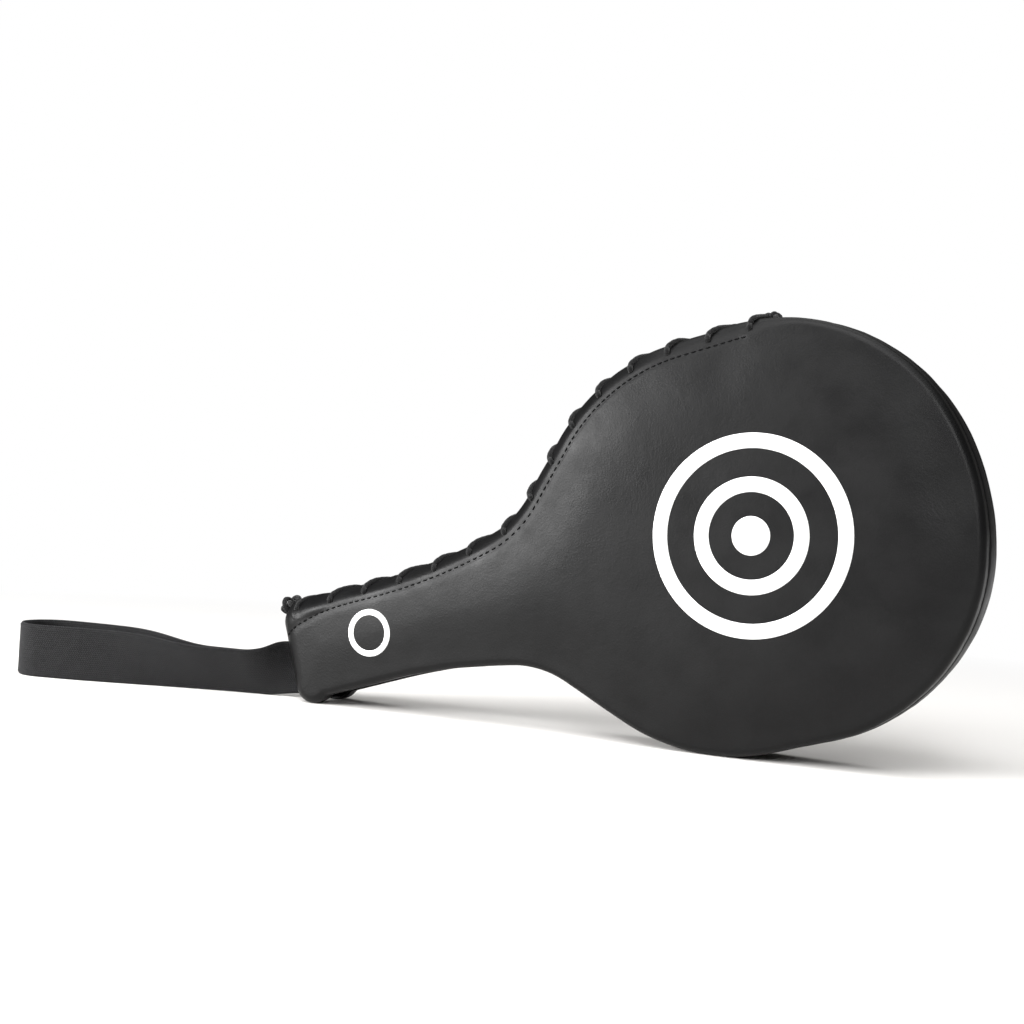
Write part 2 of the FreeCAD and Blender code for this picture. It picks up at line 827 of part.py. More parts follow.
def place_all():
    for piece in paddle_pieces:
        piece.Placement = FreeCAD.Placement(LIFT, TURN)
    for piece in strap_pieces:
        piece.Placement = STRAP_PLACE
    doc.recompute()
    whole = FreeCAD.BoundBox()
    for piece in paddle_pieces + strap_pieces:
        whole.add(piece.Shape.optimalBoundingBox(False))
    to_centre = FreeCAD.Vector(-whole.Center.x, -whole.Center.y, -whole.ZMin)
    for piece in paddle_pieces + strap_pieces:
        placement = piece.Placement
        piece.Placement = FreeCAD.Placement(placement.Base + to_centre, placement.Rotation)
    doc.recompute()
    return whole, to_centre


whole, to_centre = place_all()

failed = [item.Name for item in doc.Objects if "Invalid" in item.State or "Error" in item.State]
if failed:
    raise ValueError(f"not built: {failed}")
for piece in paddle_pieces + strap_pieces:
    if piece.Shape.isNull() or not piece.Shape.isValid() or not piece.Shape.Solids:
        raise ValueError(f"bad shape: {piece.Label}")

os.makedirs("parts", exist_ok=True)
for piece in paddle_pieces + strap_pieces:
    piece.Shape.exportStep(f"parts/{piece.Label}.step")

hinge = ROOT + to_centre
print("pieces", len(paddle_pieces) + len(strap_pieces))
print("size", round(whole.XLength, 2), round(whole.YLength, 2), round(whole.ZLength, 2))
print("floor error", round(whole.ZMin, 3), "tilt", round(TILT, 3))
print("hinge point", [round(value, 3) for value in hinge])
print("hinge axis", [round(value, 6) for value in EDGEWAYS])
print("paddle centre", [round(value, 3) for value in LIFT + to_centre])
print("strap along", [round(value, 6) for value in STRAP_ALONG])
print("strap over", [round(value, 6) for value in STRAP_OVER])
print("strap up", [round(value, 6) for value in STRAP_UP])
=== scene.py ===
import json
import math

import bmesh
import bpy
import numpy as np
from mathutils import Matrix, Vector, noise
from mathutils.bvhtree import BVHTree
from mathutils.geometry import delaunay_2d_cdt
from mathutils.kdtree import KDTree


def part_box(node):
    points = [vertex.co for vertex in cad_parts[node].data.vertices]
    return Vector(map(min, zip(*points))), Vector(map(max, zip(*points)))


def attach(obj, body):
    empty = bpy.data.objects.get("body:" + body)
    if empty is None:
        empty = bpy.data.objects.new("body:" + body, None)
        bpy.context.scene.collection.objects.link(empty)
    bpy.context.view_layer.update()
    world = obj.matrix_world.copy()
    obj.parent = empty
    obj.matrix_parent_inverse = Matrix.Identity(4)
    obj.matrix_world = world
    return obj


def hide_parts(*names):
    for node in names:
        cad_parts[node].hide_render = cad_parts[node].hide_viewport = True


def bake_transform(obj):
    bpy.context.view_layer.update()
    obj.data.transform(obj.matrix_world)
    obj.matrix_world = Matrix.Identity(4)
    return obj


# Kick paddle: black leather covers laced along the upper edge, printed ring targets and an
# elastic wrist loop.  Shapes are worked out in paddle coordinates, in millimetres: x runs
# from the head's centre to the tip, y through the thickness and z across to the laced edge.

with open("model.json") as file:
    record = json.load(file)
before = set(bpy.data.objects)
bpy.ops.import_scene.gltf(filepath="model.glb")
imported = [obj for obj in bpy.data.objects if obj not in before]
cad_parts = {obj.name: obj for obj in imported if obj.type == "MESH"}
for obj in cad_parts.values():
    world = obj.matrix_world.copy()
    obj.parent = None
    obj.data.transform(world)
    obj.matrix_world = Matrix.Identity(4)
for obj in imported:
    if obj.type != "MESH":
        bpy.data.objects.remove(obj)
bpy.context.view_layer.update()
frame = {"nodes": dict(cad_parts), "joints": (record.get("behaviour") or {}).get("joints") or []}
MM = 0.001

# -- Sizes, in millimetres, as the CAD model has them.

HEAD_HALF, TIP_RADIUS, SHOULDER_RADIUS, HEAD_RUN = 98.0, 125.0, 91.0, 26.0
FLANK_ANGLE, NECK_RADIUS, WAIST_RADIUS, WAIST_ANGLE = 45.0, 50.0, 320.0, 12.0
HANDLE_HALF, BODY_LENGTH, CORNER_RADIUS = 25.5, 360.0, 10.6
HEEL_RADIUS, HEEL_DROP, CREASE_RADIUS = 11.0, 2.6, 3.0
HALF_THICK, LEATHER = 19.0, 1.6
EDGE_ROUND, RIM_ROUND, ROUND_FADE = 9.0, 3.7, 24.0
SLIT_HALF, BAND_HALF = 4.5, 8.0
FIRST_HOLE, HOLE_PITCH, HOLE_COUNT, HOLE_HEIGHT = 12.0, 20.6, 15, 8.5
STITCH_INSET, STITCH_LENGTH, STITCH_PITCH = 8.3, 2.5, 3.6
STITCH_DIP, DIP_LENGTH = 8.0, 40.0
TARGET_X, BADGE_X = -5.0, -210.0
TARGET_OUTER, TARGET_LINE, TARGET_INNER, TARGET_DOT = 47.0, 7.0, 27.0, 9.0
BADGE_OUTER, BADGE_LINE = 12.0, 3.0
WEBBING_WIDTH, WEBBING_THICK, STRAP_LENGTH, STRAP_GAP = 28.0, 2.0, 165.0, 34.0
STRAP_LOW, HINGE_OUT, PLIES_RUN = -21.5, 3.5, 24.0

END_X = HEAD_HALF - BODY_LENGTH
LACE_REACH = FIRST_HOLE + HOLE_PITCH * (HOLE_COUNT - 1)
BAND_END = STRAP_LOW - 1.0
# Where the covers go over from laced to seamed, and how far past half of the outline the
# distances turn negative: those last ones lie under the handle's end.
SPLIT_ALONG = LACE_REACH + 8.0
SPLIT_FADE = 3.0
PAST_HALF = 200.0

# -- Paddle coordinates to the row frame.  The strap's hinge fixes them: its axis runs across
# the paddle, and its point lies a known distance from the head's centre.

swing = frame["joints"][0]
EDGEWAYS = Vector(swing["axis"]).normalized()
THICKNESS = Vector((0, 1, 0))
LENGTHWAYS = THICKNESS.cross(EDGEWAYS)
ROOT = Vector(swing["pos_m"])
CENTRE = ROOT - (LENGTHWAYS * (END_X - HINGE_OUT) + EDGEWAYS * STRAP_LOW) * MM
AXES = np.array([LENGTHWAYS, THICKNESS, EDGEWAYS])


def to_row(points):
    return np.asarray(points, float).reshape(-1, 3) * MM @ AXES + np.array(CENTRE)


def smooth(value, low, high):
    share = np.clip((np.asarray(value, float) - low) / (high - low), 0, 1)
    return share * share * (3 - 2 * share)


def unit(vectors):
    return vectors / np.linalg.norm(vectors, axis=-1, keepdims=True)


def with_height(places, y):
    """Points from x, z places and their y: one number, or one for each place."""
    return np.stack([places[:, 0], np.zeros(len(places)) + y, places[:, 1]], axis=1)


def distances_along(path):
    step = np.linalg.norm(np.diff(path, axis=0), axis=1)
    return np.concatenate([[0], np.cumsum(step)])


def look_up(at, line, rows):
    """Rows of numbers read off at some distances along a line."""
    return np.stack([np.interp(at, line, column) for column in rows.T], axis=1)


def wave(values, size, length, seed):
    """Smooth noise along a line, from -size to size, with features about length long."""
    return size * np.array([noise.noise(Vector((float(v) / length, seed, 0.37))) for v in values])


def ripple(points, size, length, seed):
    """Smooth noise over the face, from -size to size."""
    pairs = points[:, [0, 2]] / length
    return size * np.array([noise.noise(Vector((a, b, seed))) for a, b in pairs.tolist()])


# -- Outline: arcs joined by straights, each arc as centre, radius, start and end angle, and 1
# where it bulges outwards or -1 where it is hollow.


def outline_arcs():
    tip_angle = math.asin((HEAD_HALF - SHOULDER_RADIUS) / (TIP_RADIUS - SHOULDER_RADIUS))
    tip_x = HEAD_HALF - TIP_RADIUS
    shoulder_x = tip_x + (TIP_RADIUS - SHOULDER_RADIUS) * math.cos(tip_angle)
    shoulder_z = HEAD_HALF - SHOULDER_RADIUS
    flank_x = shoulder_x - HEAD_RUN
    flank, turn = math.radians(FLANK_ANGLE), math.radians(WAIST_ANGLE)
    end_x, end_z = flank_x - HEAD_HALF * math.sin(flank), HEAD_HALF * math.cos(flank)
    neck_drop = NECK_RADIUS * (math.cos(turn) - math.cos(flank))
    straight = end_z - HANDLE_HALF - neck_drop - WAIST_RADIUS * (1 - math.cos(turn))
    neck_x = end_x - straight / math.tan(flank) - NECK_RADIUS * math.sin(flank)
    neck_z = end_z - straight + NECK_RADIUS * math.cos(flank)
    reach = WAIST_RADIUS - NECK_RADIUS
    waist_x, waist_z = neck_x - reach * math.sin(turn), neck_z + reach * math.cos(turn)
    tip = math.degrees(tip_angle)
    upper = [
        (waist_x, waist_z, WAIST_RADIUS, 270, 270 + WAIST_ANGLE, -1),
        (neck_x, neck_z, NECK_RADIUS, 270 + WAIST_ANGLE, 270 + FLANK_ANGLE, -1),
        (flank_x, 0, HEAD_HALF, 90 + FLANK_ANGLE, 90, 1),
        (shoulder_x, shoulder_z, SHOULDER_RADIUS, 90, tip, 1),
        (tip_x, 0, TIP_RADIUS, tip, 0, 1),
    ]
    lower = [(x, -z, radius, -b, -a, sign) for x, z, radius, a, b, sign in reversed(upper)]
    corner = (END_X + CORNER_RADIUS, HANDLE_HALF - CORNER_RADIUS, CORNER_RADIUS, 180, 90, 1)
    heel_x, heel_z = END_X + HEEL_RADIUS, HEEL_RADIUS - HANDLE_HALF - HEEL_DROP
    crease_z = -HANDLE_HALF - CREASE_RADIUS
    across = heel_z - crease_z
    crease_x = heel_x + math.sqrt((HEEL_RADIUS + CREASE_RADIUS) ** 2 - across**2)
    touch = math.degrees(math.atan2(crease_z - heel_z, crease_x - heel_x))
    crease = (crease_x, crease_z, CREASE_RADIUS, 90, 180 + touch, -1)
    heel = (heel_x, heel_z, HEEL_RADIUS, touch, -180, 1)
    return [corner] + upper + lower + [crease, heel]


def arc_point(arc, degrees):
    x, z, radius, _, _, _ = arc
    angle = math.radians(degrees)
    return np.array([x + radius * math.cos(angle), z + radius * math.sin(angle)])


class Stations:
    """Places round the outline, about one spacing apart, that keep their order at any inset."""

    def __init__(self, spacing):
        arcs = outline_arcs()
        rows = []
        for number, arc in enumerate(arcs):
            after = arcs[(number + 1) % len(arcs)]
            length = arc[2] * math.radians(abs(arc[4] - arc[3]))
            steps = max(3, round(length / spacing))
            for step in range(steps):
                angle = arc[3] + (arc[4] - arc[3]) * step / steps
                rows.append((*arc[:3], angle, arc[5], *arc[:3], angle, arc[5], 0.0))
            length = np.linalg.norm(arc_point(after, after[3]) - arc_point(arc, arc[4]))
            steps = max(1, round(length / spacing))
            for step in range(steps if length > 0.01 else 0):
                ends = (*arc[:3], arc[4], arc[5], *after[:3], after[3], after[5])
                rows.append((*ends, step / steps))
        self.rows = np.array(rows)
        self.count = len(rows)
        place = self.ring(0.0)
        step = np.linalg.norm(np.roll(place, -1, axis=0) - place, axis=1)
        around = np.concatenate([[0], np.cumsum(step)[:-1]])
        total = float(step.sum())
        corner = int(np.argmax(place[:, 1] > HANDLE_HALF - 1e-6))
        self.along = around - around[corner] + CORNER_RADIUS
        self.along[self.along > total / 2 + PAST_HALF] -= total
        self.outward = unit(place - self.ring(1.0))
        self.place = place
        on_end = self.along < CORNER_RADIUS
        edge = np.where(on_end, place[:, 1] - BAND_END, SPLIT_ALONG - self.along)
        near = (place[:, 0] < END_X + 1.0) | (self.along < SPLIT_ALONG + 2 * SPLIT_FADE)
        self.laced = np.where(near, smooth(edge, -SPLIT_FADE, SPLIT_FADE), 0.0)
        self.laced[place[:, 1] < BAND_END - SPLIT_FADE] = 0.0
        reach = round(ROUND_FADE / spacing)
        wrapped = np.concatenate([self.laced[-reach:], self.laced, self.laced[:reach]])
        window = np.hanning(2 * reach + 3)[1:-1]
        self.round = RIM_ROUND + (EDGE_ROUND - RIM_ROUND) * np.convolve(
            wrapped, window / window.sum(), "valid")

    def ring(self, inset):
        """Positions at an inset: one number, or one for each station."""
        spots = []
        for first in (0, 5):
            x, z, radius, degrees, bulge = self.rows[:, first:first + 5].T
            angle, radius = np.radians(degrees), radius - bulge * inset
            spots.append(np.stack([x + radius * np.cos(angle), z + radius * np.sin(angle)], axis=1))
        share = self.rows[:, 10:]
        return spots[0] * (1 - share) + spots[1] * share

    def at(self, along, inset=0.0):
        """Position and outward direction at some distances from the handle's end."""
        order = np.argsort(self.along)
        rows = np.hstack([self.ring(inset), self.outward])[order]
        found = look_up(np.atleast_1d(along), self.along[order], rows)
        return found[:, :2], unit(found[:, 2:])


FINE = Stations(1.7)
HOLES_ALONG = FIRST_HOLE + HOLE_PITCH * np.arange(HOLE_COUNT)

# -- Meshes.


def add_object(name, data):
    made = bpy.data.objects.new(name, data)
    bpy.context.scene.collection.objects.link(made)
    return made


def make_object(name, points, faces, body="paddle"):
    """A mesh object from points in the row frame, in metres, with its faces turned outwards."""
    mesh = bpy.data.meshes.new(name)
    mesh.from_pydata([tuple(p) for p in points], [], faces)
    shape = bmesh.new()
    shape.from_mesh(mesh)
    bmesh.ops.recalc_face_normals(shape, faces=shape.faces)
    shape.to_mesh(mesh)
    shape.free()
    mesh.polygons.foreach_set("use_smooth", [True] * len(mesh.polygons))
    piece = add_object(name, mesh)
    if body:
        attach(piece, body)
    return piece


def finish_piece(name, points, faces, material, node, slot):
    """A visual piece made in paddle coordinates, in place of one CAD node."""
    piece = make_object(name, to_row(points), faces)
    piece.data.materials.append(material)
    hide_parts(node)
    return piece


def point_tree(points):
    """A search tree over points given as x and z, or as x, y and z."""
    tree = KDTree(len(points))
    for number, place in enumerate(points):
        tree.insert((*place, 0)[:3], number)
    tree.balance()
    return tree


def band_faces(first, second, count, closed=True):
    """Quads between two rows of count points, given the number of each row's first point."""
    faces = []
    for k in range(count if closed else count - 1):
        after = (k + 1) % count
        faces.append((first + k, first + after, second + after, second + k))
    return faces


def stack_faces(rows, count, closed=True):
    """Quads between each two neighbouring rows of count points."""
    faces = []
    for row in range(rows - 1):
        faces += band_faces(row * count, (row + 1) * count, count, closed)
    return faces


def ring_faces(rows, count, meets):
    """Quads round a stack of rings, whose ends meet or are closed by two polygons."""
    last = (rows - 1) * count
    if meets:
        return stack_faces(rows, count) + band_faces(last, 0, count)
    ends = [tuple(range(count)), tuple(last + k for k in reversed(range(count)))]
    return stack_faces(rows, count) + ends


def fill_grid(boundary, spacing):
    """Points and triangles inside a closed line; the line's own points come first."""
    low, high = boundary.min(axis=0), boundary.max(axis=0)
    tree = point_tree(boundary)
    after = np.roll(boundary, -1, axis=0)
    inside = []
    row_height = spacing * math.sqrt(3) / 2
    for row in range(int((high[1] - low[1]) / row_height) + 1):
        z = low[1] + row * row_height
        crosses = (boundary[:, 1] > z) != (after[:, 1] > z)
        share = (z - boundary[crosses, 1]) / (after[crosses, 1] - boundary[crosses, 1])
        cuts = boundary[crosses, 0] + share * (after[crosses, 0] - boundary[crosses, 0])
        start = low[0] + (row % 2) * spacing / 2
        for x in np.arange(start, high[0], spacing):
            if (cuts > x).sum() % 2 and tree.find((x, z, 0))[2] > spacing * 0.6:
                inside.append((x, z))
    points = [Vector(p) for p in boundary] + [Vector(p) for p in inside]
    loop = list(range(len(boundary)))
    found = delaunay_2d_cdt(points, [], [loop], 1, 1e-5)
    back = [original[0] if original else -1 for original in found[3]]
    faces = [tuple(back[v] for v in face) for face in found[2]]
    return np.array(inside), faces


def add_caps(points, faces, count, grid, caps):
    """Fill some rings of count points with a grid: each cap is a first point and a y."""
    inside, triangles = grid
    for first, y in caps:
        start = len(points) - count
        points = np.concatenate([points, with_height(inside, y)])
        for corner in triangles:
            faces.append(tuple((first if v < count else start) + v for v in corner))
    return points


# -- How the foam swells inside the leather: a coarse closed copy of the pad is blown up by a
# cloth simulation while its seams and lace holes are held, and the covers follow it.

SWELL_CAP = 2.0
SWELL_VOXEL = 5.0
SWELL_FRAMES = 20
SEAM_HEIGHT = 8.6
PAD_SPACING, PAD_GRID, PAD_SHRINK, PAD_STEPS = 6.0, 7.0, 0.8, 4
SWELL_CLOTH = {
    "quality": 6,
    "mass": 0.3,
    "tension_stiffness": 40,
    "compression_stiffness": 40,
    "shear_stiffness": 20,
    "bending_stiffness": 4,
    "use_pressure": True,
    "uniform_pressure_force": 4,
    "vertex_group_mass": "held",
}


def quarter(outer, radius, steps):
    """Insets and rises up a quarter round, whose outer side may be a larger round."""
    angles = [math.pi / 2 * step / steps for step in range(steps + 1)]
    return [(outer - radius * math.cos(a), radius * math.sin(a)) for a in angles]


def pad_profile(steps, shrink):
    """Inset and height of the pad's outer skin, from the front face round to the back one."""
    top = HALF_THICK - EDGE_ROUND - shrink
    rises = quarter(EDGE_ROUND, EDGE_ROUND, steps)[::-1]
    rounding = [(inset + shrink, top + rise) for inset, rise in rises]
    middle = [(shrink, height) for height in (5.0, 0.0, -5.0)]
    return rounding + middle + [(inset, -height) for inset, height in reversed(rounding)]


def coarse_pad():
    stations = Stations(PAD_SPACING)
    profile = pad_profile(PAD_STEPS, PAD_SHRINK)
    count = stations.count
    rings = [with_height(stations.ring(min(i, EDGE_ROUND)), -height) for i, height in profile]
    faces = stack_faces(len(profile), count)
    level = profile[0][1]
    caps = ((0, -level), ((len(profile) - 1) * count, level))
    grid = fill_grid(stations.ring(EDGE_ROUND), PAD_GRID)
    return add_caps(np.concatenate(rings), faces, count, grid, caps), faces


def held_weights(points):
    """1 where a seam or a lace hole holds the leather, down to 0 a little way off."""
    line = point_tree(FINE.place)
    holes, _ = FINE.at(HOLES_ALONG)
    weights = []
    for x, y, z in points:
        _, number, distance = line.find((x, z, 0))
        laced = FINE.laced[number]
        edge = 1.0 if distance < 4 else 0.0
        seam = 1 - smooth(abs(abs(y) - SEAM_HEIGHT), 1.5, 4.0)
        slit = 1 - smooth(abs(y), SLIT_HALF, SLIT_HALF + 3)
        hole = np.sqrt(((holes - (x, z)) ** 2).sum(axis=1).min() + (abs(y) - HOLE_HEIGHT) ** 2)
        hole = 1 - smooth(hole, 3.0, 7.0)
        middle = 1.0 if abs(y) < BAND_HALF else 0.0
        weight = laced * max(slit, hole) + (1 - laced) * max(seam, middle)
        weights.append(float(edge * weight))
    return weights


def swell_field():
    """Rest points of the coarse pad, in paddle coordinates, and how far each one moves."""
    points, faces = coarse_pad()
    pad = make_object("swell_work", points * MM, faces, body=None)
    remesh = pad.modifiers.new("remesh", "REMESH")
    remesh.mode = "VOXEL"
    remesh.voxel_size = SWELL_VOXEL * MM
    bpy.context.view_layer.update()
    graph = bpy.context.evaluated_depsgraph_get()
    rebuilt = bpy.data.meshes.new_from_object(pad.evaluated_get(graph))
    pad.modifiers.clear()
    pad.data = rebuilt
    rest = np.array([v.co for v in rebuilt.vertices]) / MM
    group = pad.vertex_groups.new(name="held")
    for number, weight in enumerate(held_weights(rest)):
        group.add([number], weight, "REPLACE")
    cloth = pad.modifiers.new("cloth", "CLOTH")
    for key, value in SWELL_CLOTH.items():
        setattr(cloth.settings, key, value)
    cloth.settings.effector_weights.gravity = 0
    cloth.point_cache.frame_start = 1
    cloth.point_cache.frame_end = SWELL_FRAMES
    for number in range(1, SWELL_FRAMES + 1):
        bpy.context.scene.frame_set(number)
    graph = bpy.context.evaluated_depsgraph_get()
    swollen = pad.evaluated_get(graph).to_mesh()
    moved = np.array([v.co for v in swollen.vertices]) / MM - rest
    reach = np.linalg.norm(moved, axis=1, keepdims=True)
    moved = moved * SWELL_CAP * np.tanh(reach / SWELL_CAP) / np.maximum(reach, 1e-6)
    bpy.context.scene.frame_set(1)
    bpy.data.objects.remove(pad)
    return rest, near_average(rest, rest, moved, 40, 1.8 * SWELL_VOXEL)


def near_average(points, rest, moved, count, reach):
    """The shifts of the rest points, averaged at other points over the nearest few."""
    tree = point_tree(rest)
    shifts = np.zeros_like(points)
    for number, place in enumerate(points):
        near = tree.find_n(place, count)
        distances = np.array([distance for _, _, distance in near])
        weights = np.exp(-((distances / reach) ** 2)) + 1e-6
        picked = moved[[index for _, index, _ in near]]
        shifts[number] = (picked * weights[:, None]).sum(axis=0) / weights.sum()
    return shifts


SWELL = swell_field()


def follow_swell(points):
    if SWELL is None:
        return np.zeros_like(points)
    rest, moved = SWELL
    return near_average(points, rest, moved, 14, 1.2 * SWELL_VOXEL)


# -- Covers: a closed shell of leather.  Rows of points run from the inside of the face, down
# the inner wall, round the folded hem and up over the rounded edge to the face again.

PUFF_GRIP, PUFF_HEAD = 2.8, 0.4
PUFF_FROM, PUFF_TO = 8.0, 48.0
PUFF_UNEVEN, PUFF_DIP = 0.45, 0.38
CROWN, CROWN_REACH = 0.7, 20.0
FACE_FLOOR = 17.75
STITCH_SINK, STITCH_HALF_WIDTH, STITCH_PARTS = 0.40, 1.3, 4
FOLD = 1.2
RIM_FOLD = 0.9
HEM_GAP = 0.4
FACE_INSET = 9.6
FACE_SPACING = 2.0
# Unevenness of the edge, puckers at the seam and softness of the face: size and length.
UNEVEN, UNEVEN_FINE = (0.30, 34.0), (0.14, 13.0)
PUCKER, PUCKER_FINE = (0.20, 3.4), (0.12, 1.9)
SOFT, SOFT_FINE = (0.22, 52.0), (0.08, 17.0)
FACE_Y = {"front": -1, "back": 1}


def cover_rows():
    """Each row's inset and height at every station."""
    rim_hem = BAND_HALF + HEM_GAP
    hem = rim_hem + (SLIT_HALF - rim_hem) * FINE.laced
    fold = RIM_FOLD + (FOLD - RIM_FOLD) * FINE.laced
    radius = FINE.round
    top = HALF_THICK - radius
    full = np.ones(FINE.count)
    rows = [(full * FACE_INSET, full * (HALF_THICK - LEATHER))]
    rows += [(inset, top + rise) for inset, rise in quarter(radius, radius - LEATHER, 4)[::-1]]
    rows.append((2 * fold, np.minimum(hem + fold + 2.5, top - 0.1)))
    for step in range(7):
        angle = math.pi * step / 6
        rows.append((fold * (1 + math.cos(angle)), hem + fold - fold * math.sin(angle)))
    start = hem + fold
    for share in (0.17, 0.34, 0.52, 0.7, 0.86):
        rows.append((full * 0.0, start + (top - start) * share))
    rows += [(inset, top + rise) for inset, rise in quarter(radius, radius, 11)]
    for share in (0.35, 0.7, 1.0):
        rows.append((radius + (FACE_INSET - radius) * share, full * HALF_THICK))
    return rows


def puff(along, seed):
    """How far the hem stands out between two lace holes, and dips at each hole."""
    phase = (along - FIRST_HOLE) / HOLE_PITCH
    number = np.floor(phase)
    share = phase - number
    window = smooth(along, FIRST_HOLE - 9, FIRST_HOLE - 3) * (1 - smooth(
        along, LACE_REACH + 2, LACE_REACH + 12))
    size = PUFF_GRIP + (PUFF_HEAD - PUFF_GRIP) * smooth(along, PUFF_FROM, PUFF_TO)
    uneven = 1 + PUFF_UNEVEN * np.array([noise.noise(Vector((n * 1.7, seed, 3.1))) for n in number])
    hump = np.abs(np.sin(np.pi * np.clip(share * 0.92 + 0.04 * share**2, 0, 1))) ** 0.75
    return window * size * uneven * (hump - PUFF_DIP)


def stitch_line():
    """Points of the topstitch line, from the handle's end to the last lace hole."""
    count = int((LACE_REACH - CORNER_RADIUS) / STITCH_PITCH)
    along = CORNER_RADIUS + STITCH_PITCH * (np.arange(-3, count) + 0.5)
    place, outward = FINE.at(np.maximum(along, CORNER_RADIUS), STITCH_INSET)
    before = np.minimum(along - CORNER_RADIUS, 0)
    place[:, 0] += before * 0.75
    dip = STITCH_DIP * np.clip(1 - along / DIP_LENGTH, 0, None) ** 2
    return place - outward * dip[:, None]


def cover_shape(face):
    """Points of one cover, in paddle coordinates, with its faces."""
    sign = FACE_Y[face]
    seed = 5.0 + sign
    rows = cover_rows()
    count = FINE.count
    swell_puff = puff(FINE.along, seed)
    rim = 1 - FINE.laced
    along = FINE.along
    uneven = wave(along, *UNEVEN, seed) + wave(along, *UNEVEN_FINE, seed + 2)
    pucker = wave(along, *PUCKER, seed + 4) + wave(along, *PUCKER_FINE, seed)
    points = []
    for inset, height in rows:
        ring = FINE.ring(inset)
        slope = np.clip(1 - inset / EDGE_ROUND, 0, 1)
        near_seam = np.exp(-np.clip(height - BAND_HALF, 0, None) / 4.0) * rim
        near_hem = FINE.laced * np.exp(-np.clip(height - 14.0, 0, None) / 3.0)
        push = swell_puff * slope**0.6 * near_hem + uneven * slope + pucker * near_seam * slope
        ring = ring + FINE.outward * push[:, None]
        shoulder = smooth(inset, 1, 5) * (1 - smooth(inset, 6.5, 9.5))
        tall = height + swell_puff * 0.30 * FINE.laced * shoulder
        points.append(with_height(ring, sign * tall))
    faces = stack_faces(len(rows), count)
    level = sign * HALF_THICK
    caps = ((0, level - sign * LEATHER), ((len(rows) - 1) * count, level))
    grid = fill_grid(FINE.ring(FACE_INSET), FACE_SPACING)
    points = add_caps(np.concatenate(points), faces, count, grid, caps)
    points = points + follow_swell(points)
    return soften_face(points, sign, seed), faces


def stitch_sink(points):
    """How far the topstitch draws each point of a face in."""
    line = stitch_line()
    shares = np.arange(STITCH_PARTS) / STITCH_PARTS
    spots = line[:-1, None] + (line[1:] - line[:-1])[:, None] * shares[None, :, None]
    tree = point_tree(spots.reshape(-1, 2))
    sink = np.zeros(len(points))
    for number in np.nonzero(np.abs(points[:, 1]) > HALF_THICK - EDGE_ROUND * 0.4)[0]:
        distance = tree.find((points[number, 0], points[number, 2], 0))[2]
        sink[number] = STITCH_SINK * math.exp(-((distance / STITCH_HALF_WIDTH) ** 2))
    return sink


def soften_face(points, sign, seed):
    """Crown the face, let it undulate and sink the stitches, but stay clear of the foam."""
    sink = stitch_sink(points)
    outline = point_tree(FINE.place)
    away = np.array([outline.find((x, z, 0))[2] for x, _, z in points])
    flat_part = np.abs(points[:, 1]) > HALF_THICK - 0.2
    crown = CROWN * np.exp(-away / CROWN_REACH) * smooth(np.abs(points[:, 1]), 9, 18)
    points[:, 1] -= sign * crown
    soft = ripple(points, *SOFT, seed) + ripple(points, *SOFT_FINE, seed + 1)
    flat = smooth(np.abs(points[:, 1]), 12, HALF_THICK - 1)
    points[:, 1] += sign * (soft * flat - sink)
    low = flat_part & (sign * points[:, 1] < FACE_FLOOR)
    points[low, 1] = sign * FACE_FLOOR
    return points


# -- Materials.  Everything is procedural and reads the object's own coordinates or its UV map.


class Nodes:
    """Short calls for building one material's node tree."""

    def __init__(self, name, roughness, specular):
        self.material = bpy.data.materials.new(name)
        self.material.use_nodes = True
        self.tree = self.material.node_tree
        self.shader = self.tree.nodes["Principled BSDF"]
        self.shader.inputs["Roughness"].default_value = roughness
        self.shader.inputs["Specular IOR Level"].default_value = specular
        self.place = self.tree.nodes.new("ShaderNodeTexCoord")

    def link(self, source, target):
        self.tree.links.new(source, target)

    def node(self, kind, **values):
        made = self.tree.nodes.new(kind)
        for key, value in values.items():
            if key in made.inputs:
                made.inputs[key].default_value = value
            else:
                setattr(made, key, value)
        return made

    def noise(self, scale, detail=2.0, rough=0.5):
        made = self.node("ShaderNodeTexNoise", Scale=scale, Detail=detail, Roughness=rough)
        self.link(self.place.outputs["Object"], made.inputs["Vector"])
        return made.outputs["Fac"]

    def cells(self, scale):
        made = self.node("ShaderNodeTexVoronoi", Scale=scale, feature="SMOOTH_F1")
        self.link(self.place.outputs["Object"], made.inputs["Vector"])
        return made.outputs["Distance"]

    def spread(self, value, low, high, to_low, to_high):
        made = self.node("ShaderNodeMapRange")
        ends = {"From Min": low, "From Max": high, "To Min": to_low, "To Max": to_high}
        for key, end in ends.items():
            made.inputs[key].default_value = end
        self.link(value, made.inputs["Value"])
        return made.outputs["Result"]

    def maths(self, kind, first, second):
        made = self.node("ShaderNodeMath", operation=kind)
        for place, value in enumerate((first, second)):
            if isinstance(value, (int, float)):
                made.inputs[place].default_value = value
            elif value is not None:
                self.link(value, made.inputs[place])
        return made.outputs["Value"]

    def colours(self, value, dark, light, low=0.3, high=0.7):
        ramp = self.node("ShaderNodeValToRGB")
        for end, place, tone in zip(ramp.color_ramp.elements, (low, high), (dark, light)):
            end.position = place
            end.color = (*tone, 1)
        self.link(value, ramp.inputs["Fac"])
        self.link(ramp.outputs["Color"], self.shader.inputs["Base Color"])

    def sheen(self, weight, roughness):
        self.shader.inputs["Sheen Weight"].default_value = weight
        self.shader.inputs["Sheen Roughness"].default_value = roughness

    def bump(self, height, distance, strength):
        made = self.node("ShaderNodeBump", Strength=strength, Distance=distance)
        self.link(height, made.inputs["Height"])
        previous = self.shader.inputs["Normal"].links
        if previous:
            self.link(previous[0].from_socket, made.inputs["Normal"])
        self.link(made.outputs["Normal"], self.shader.inputs["Normal"])


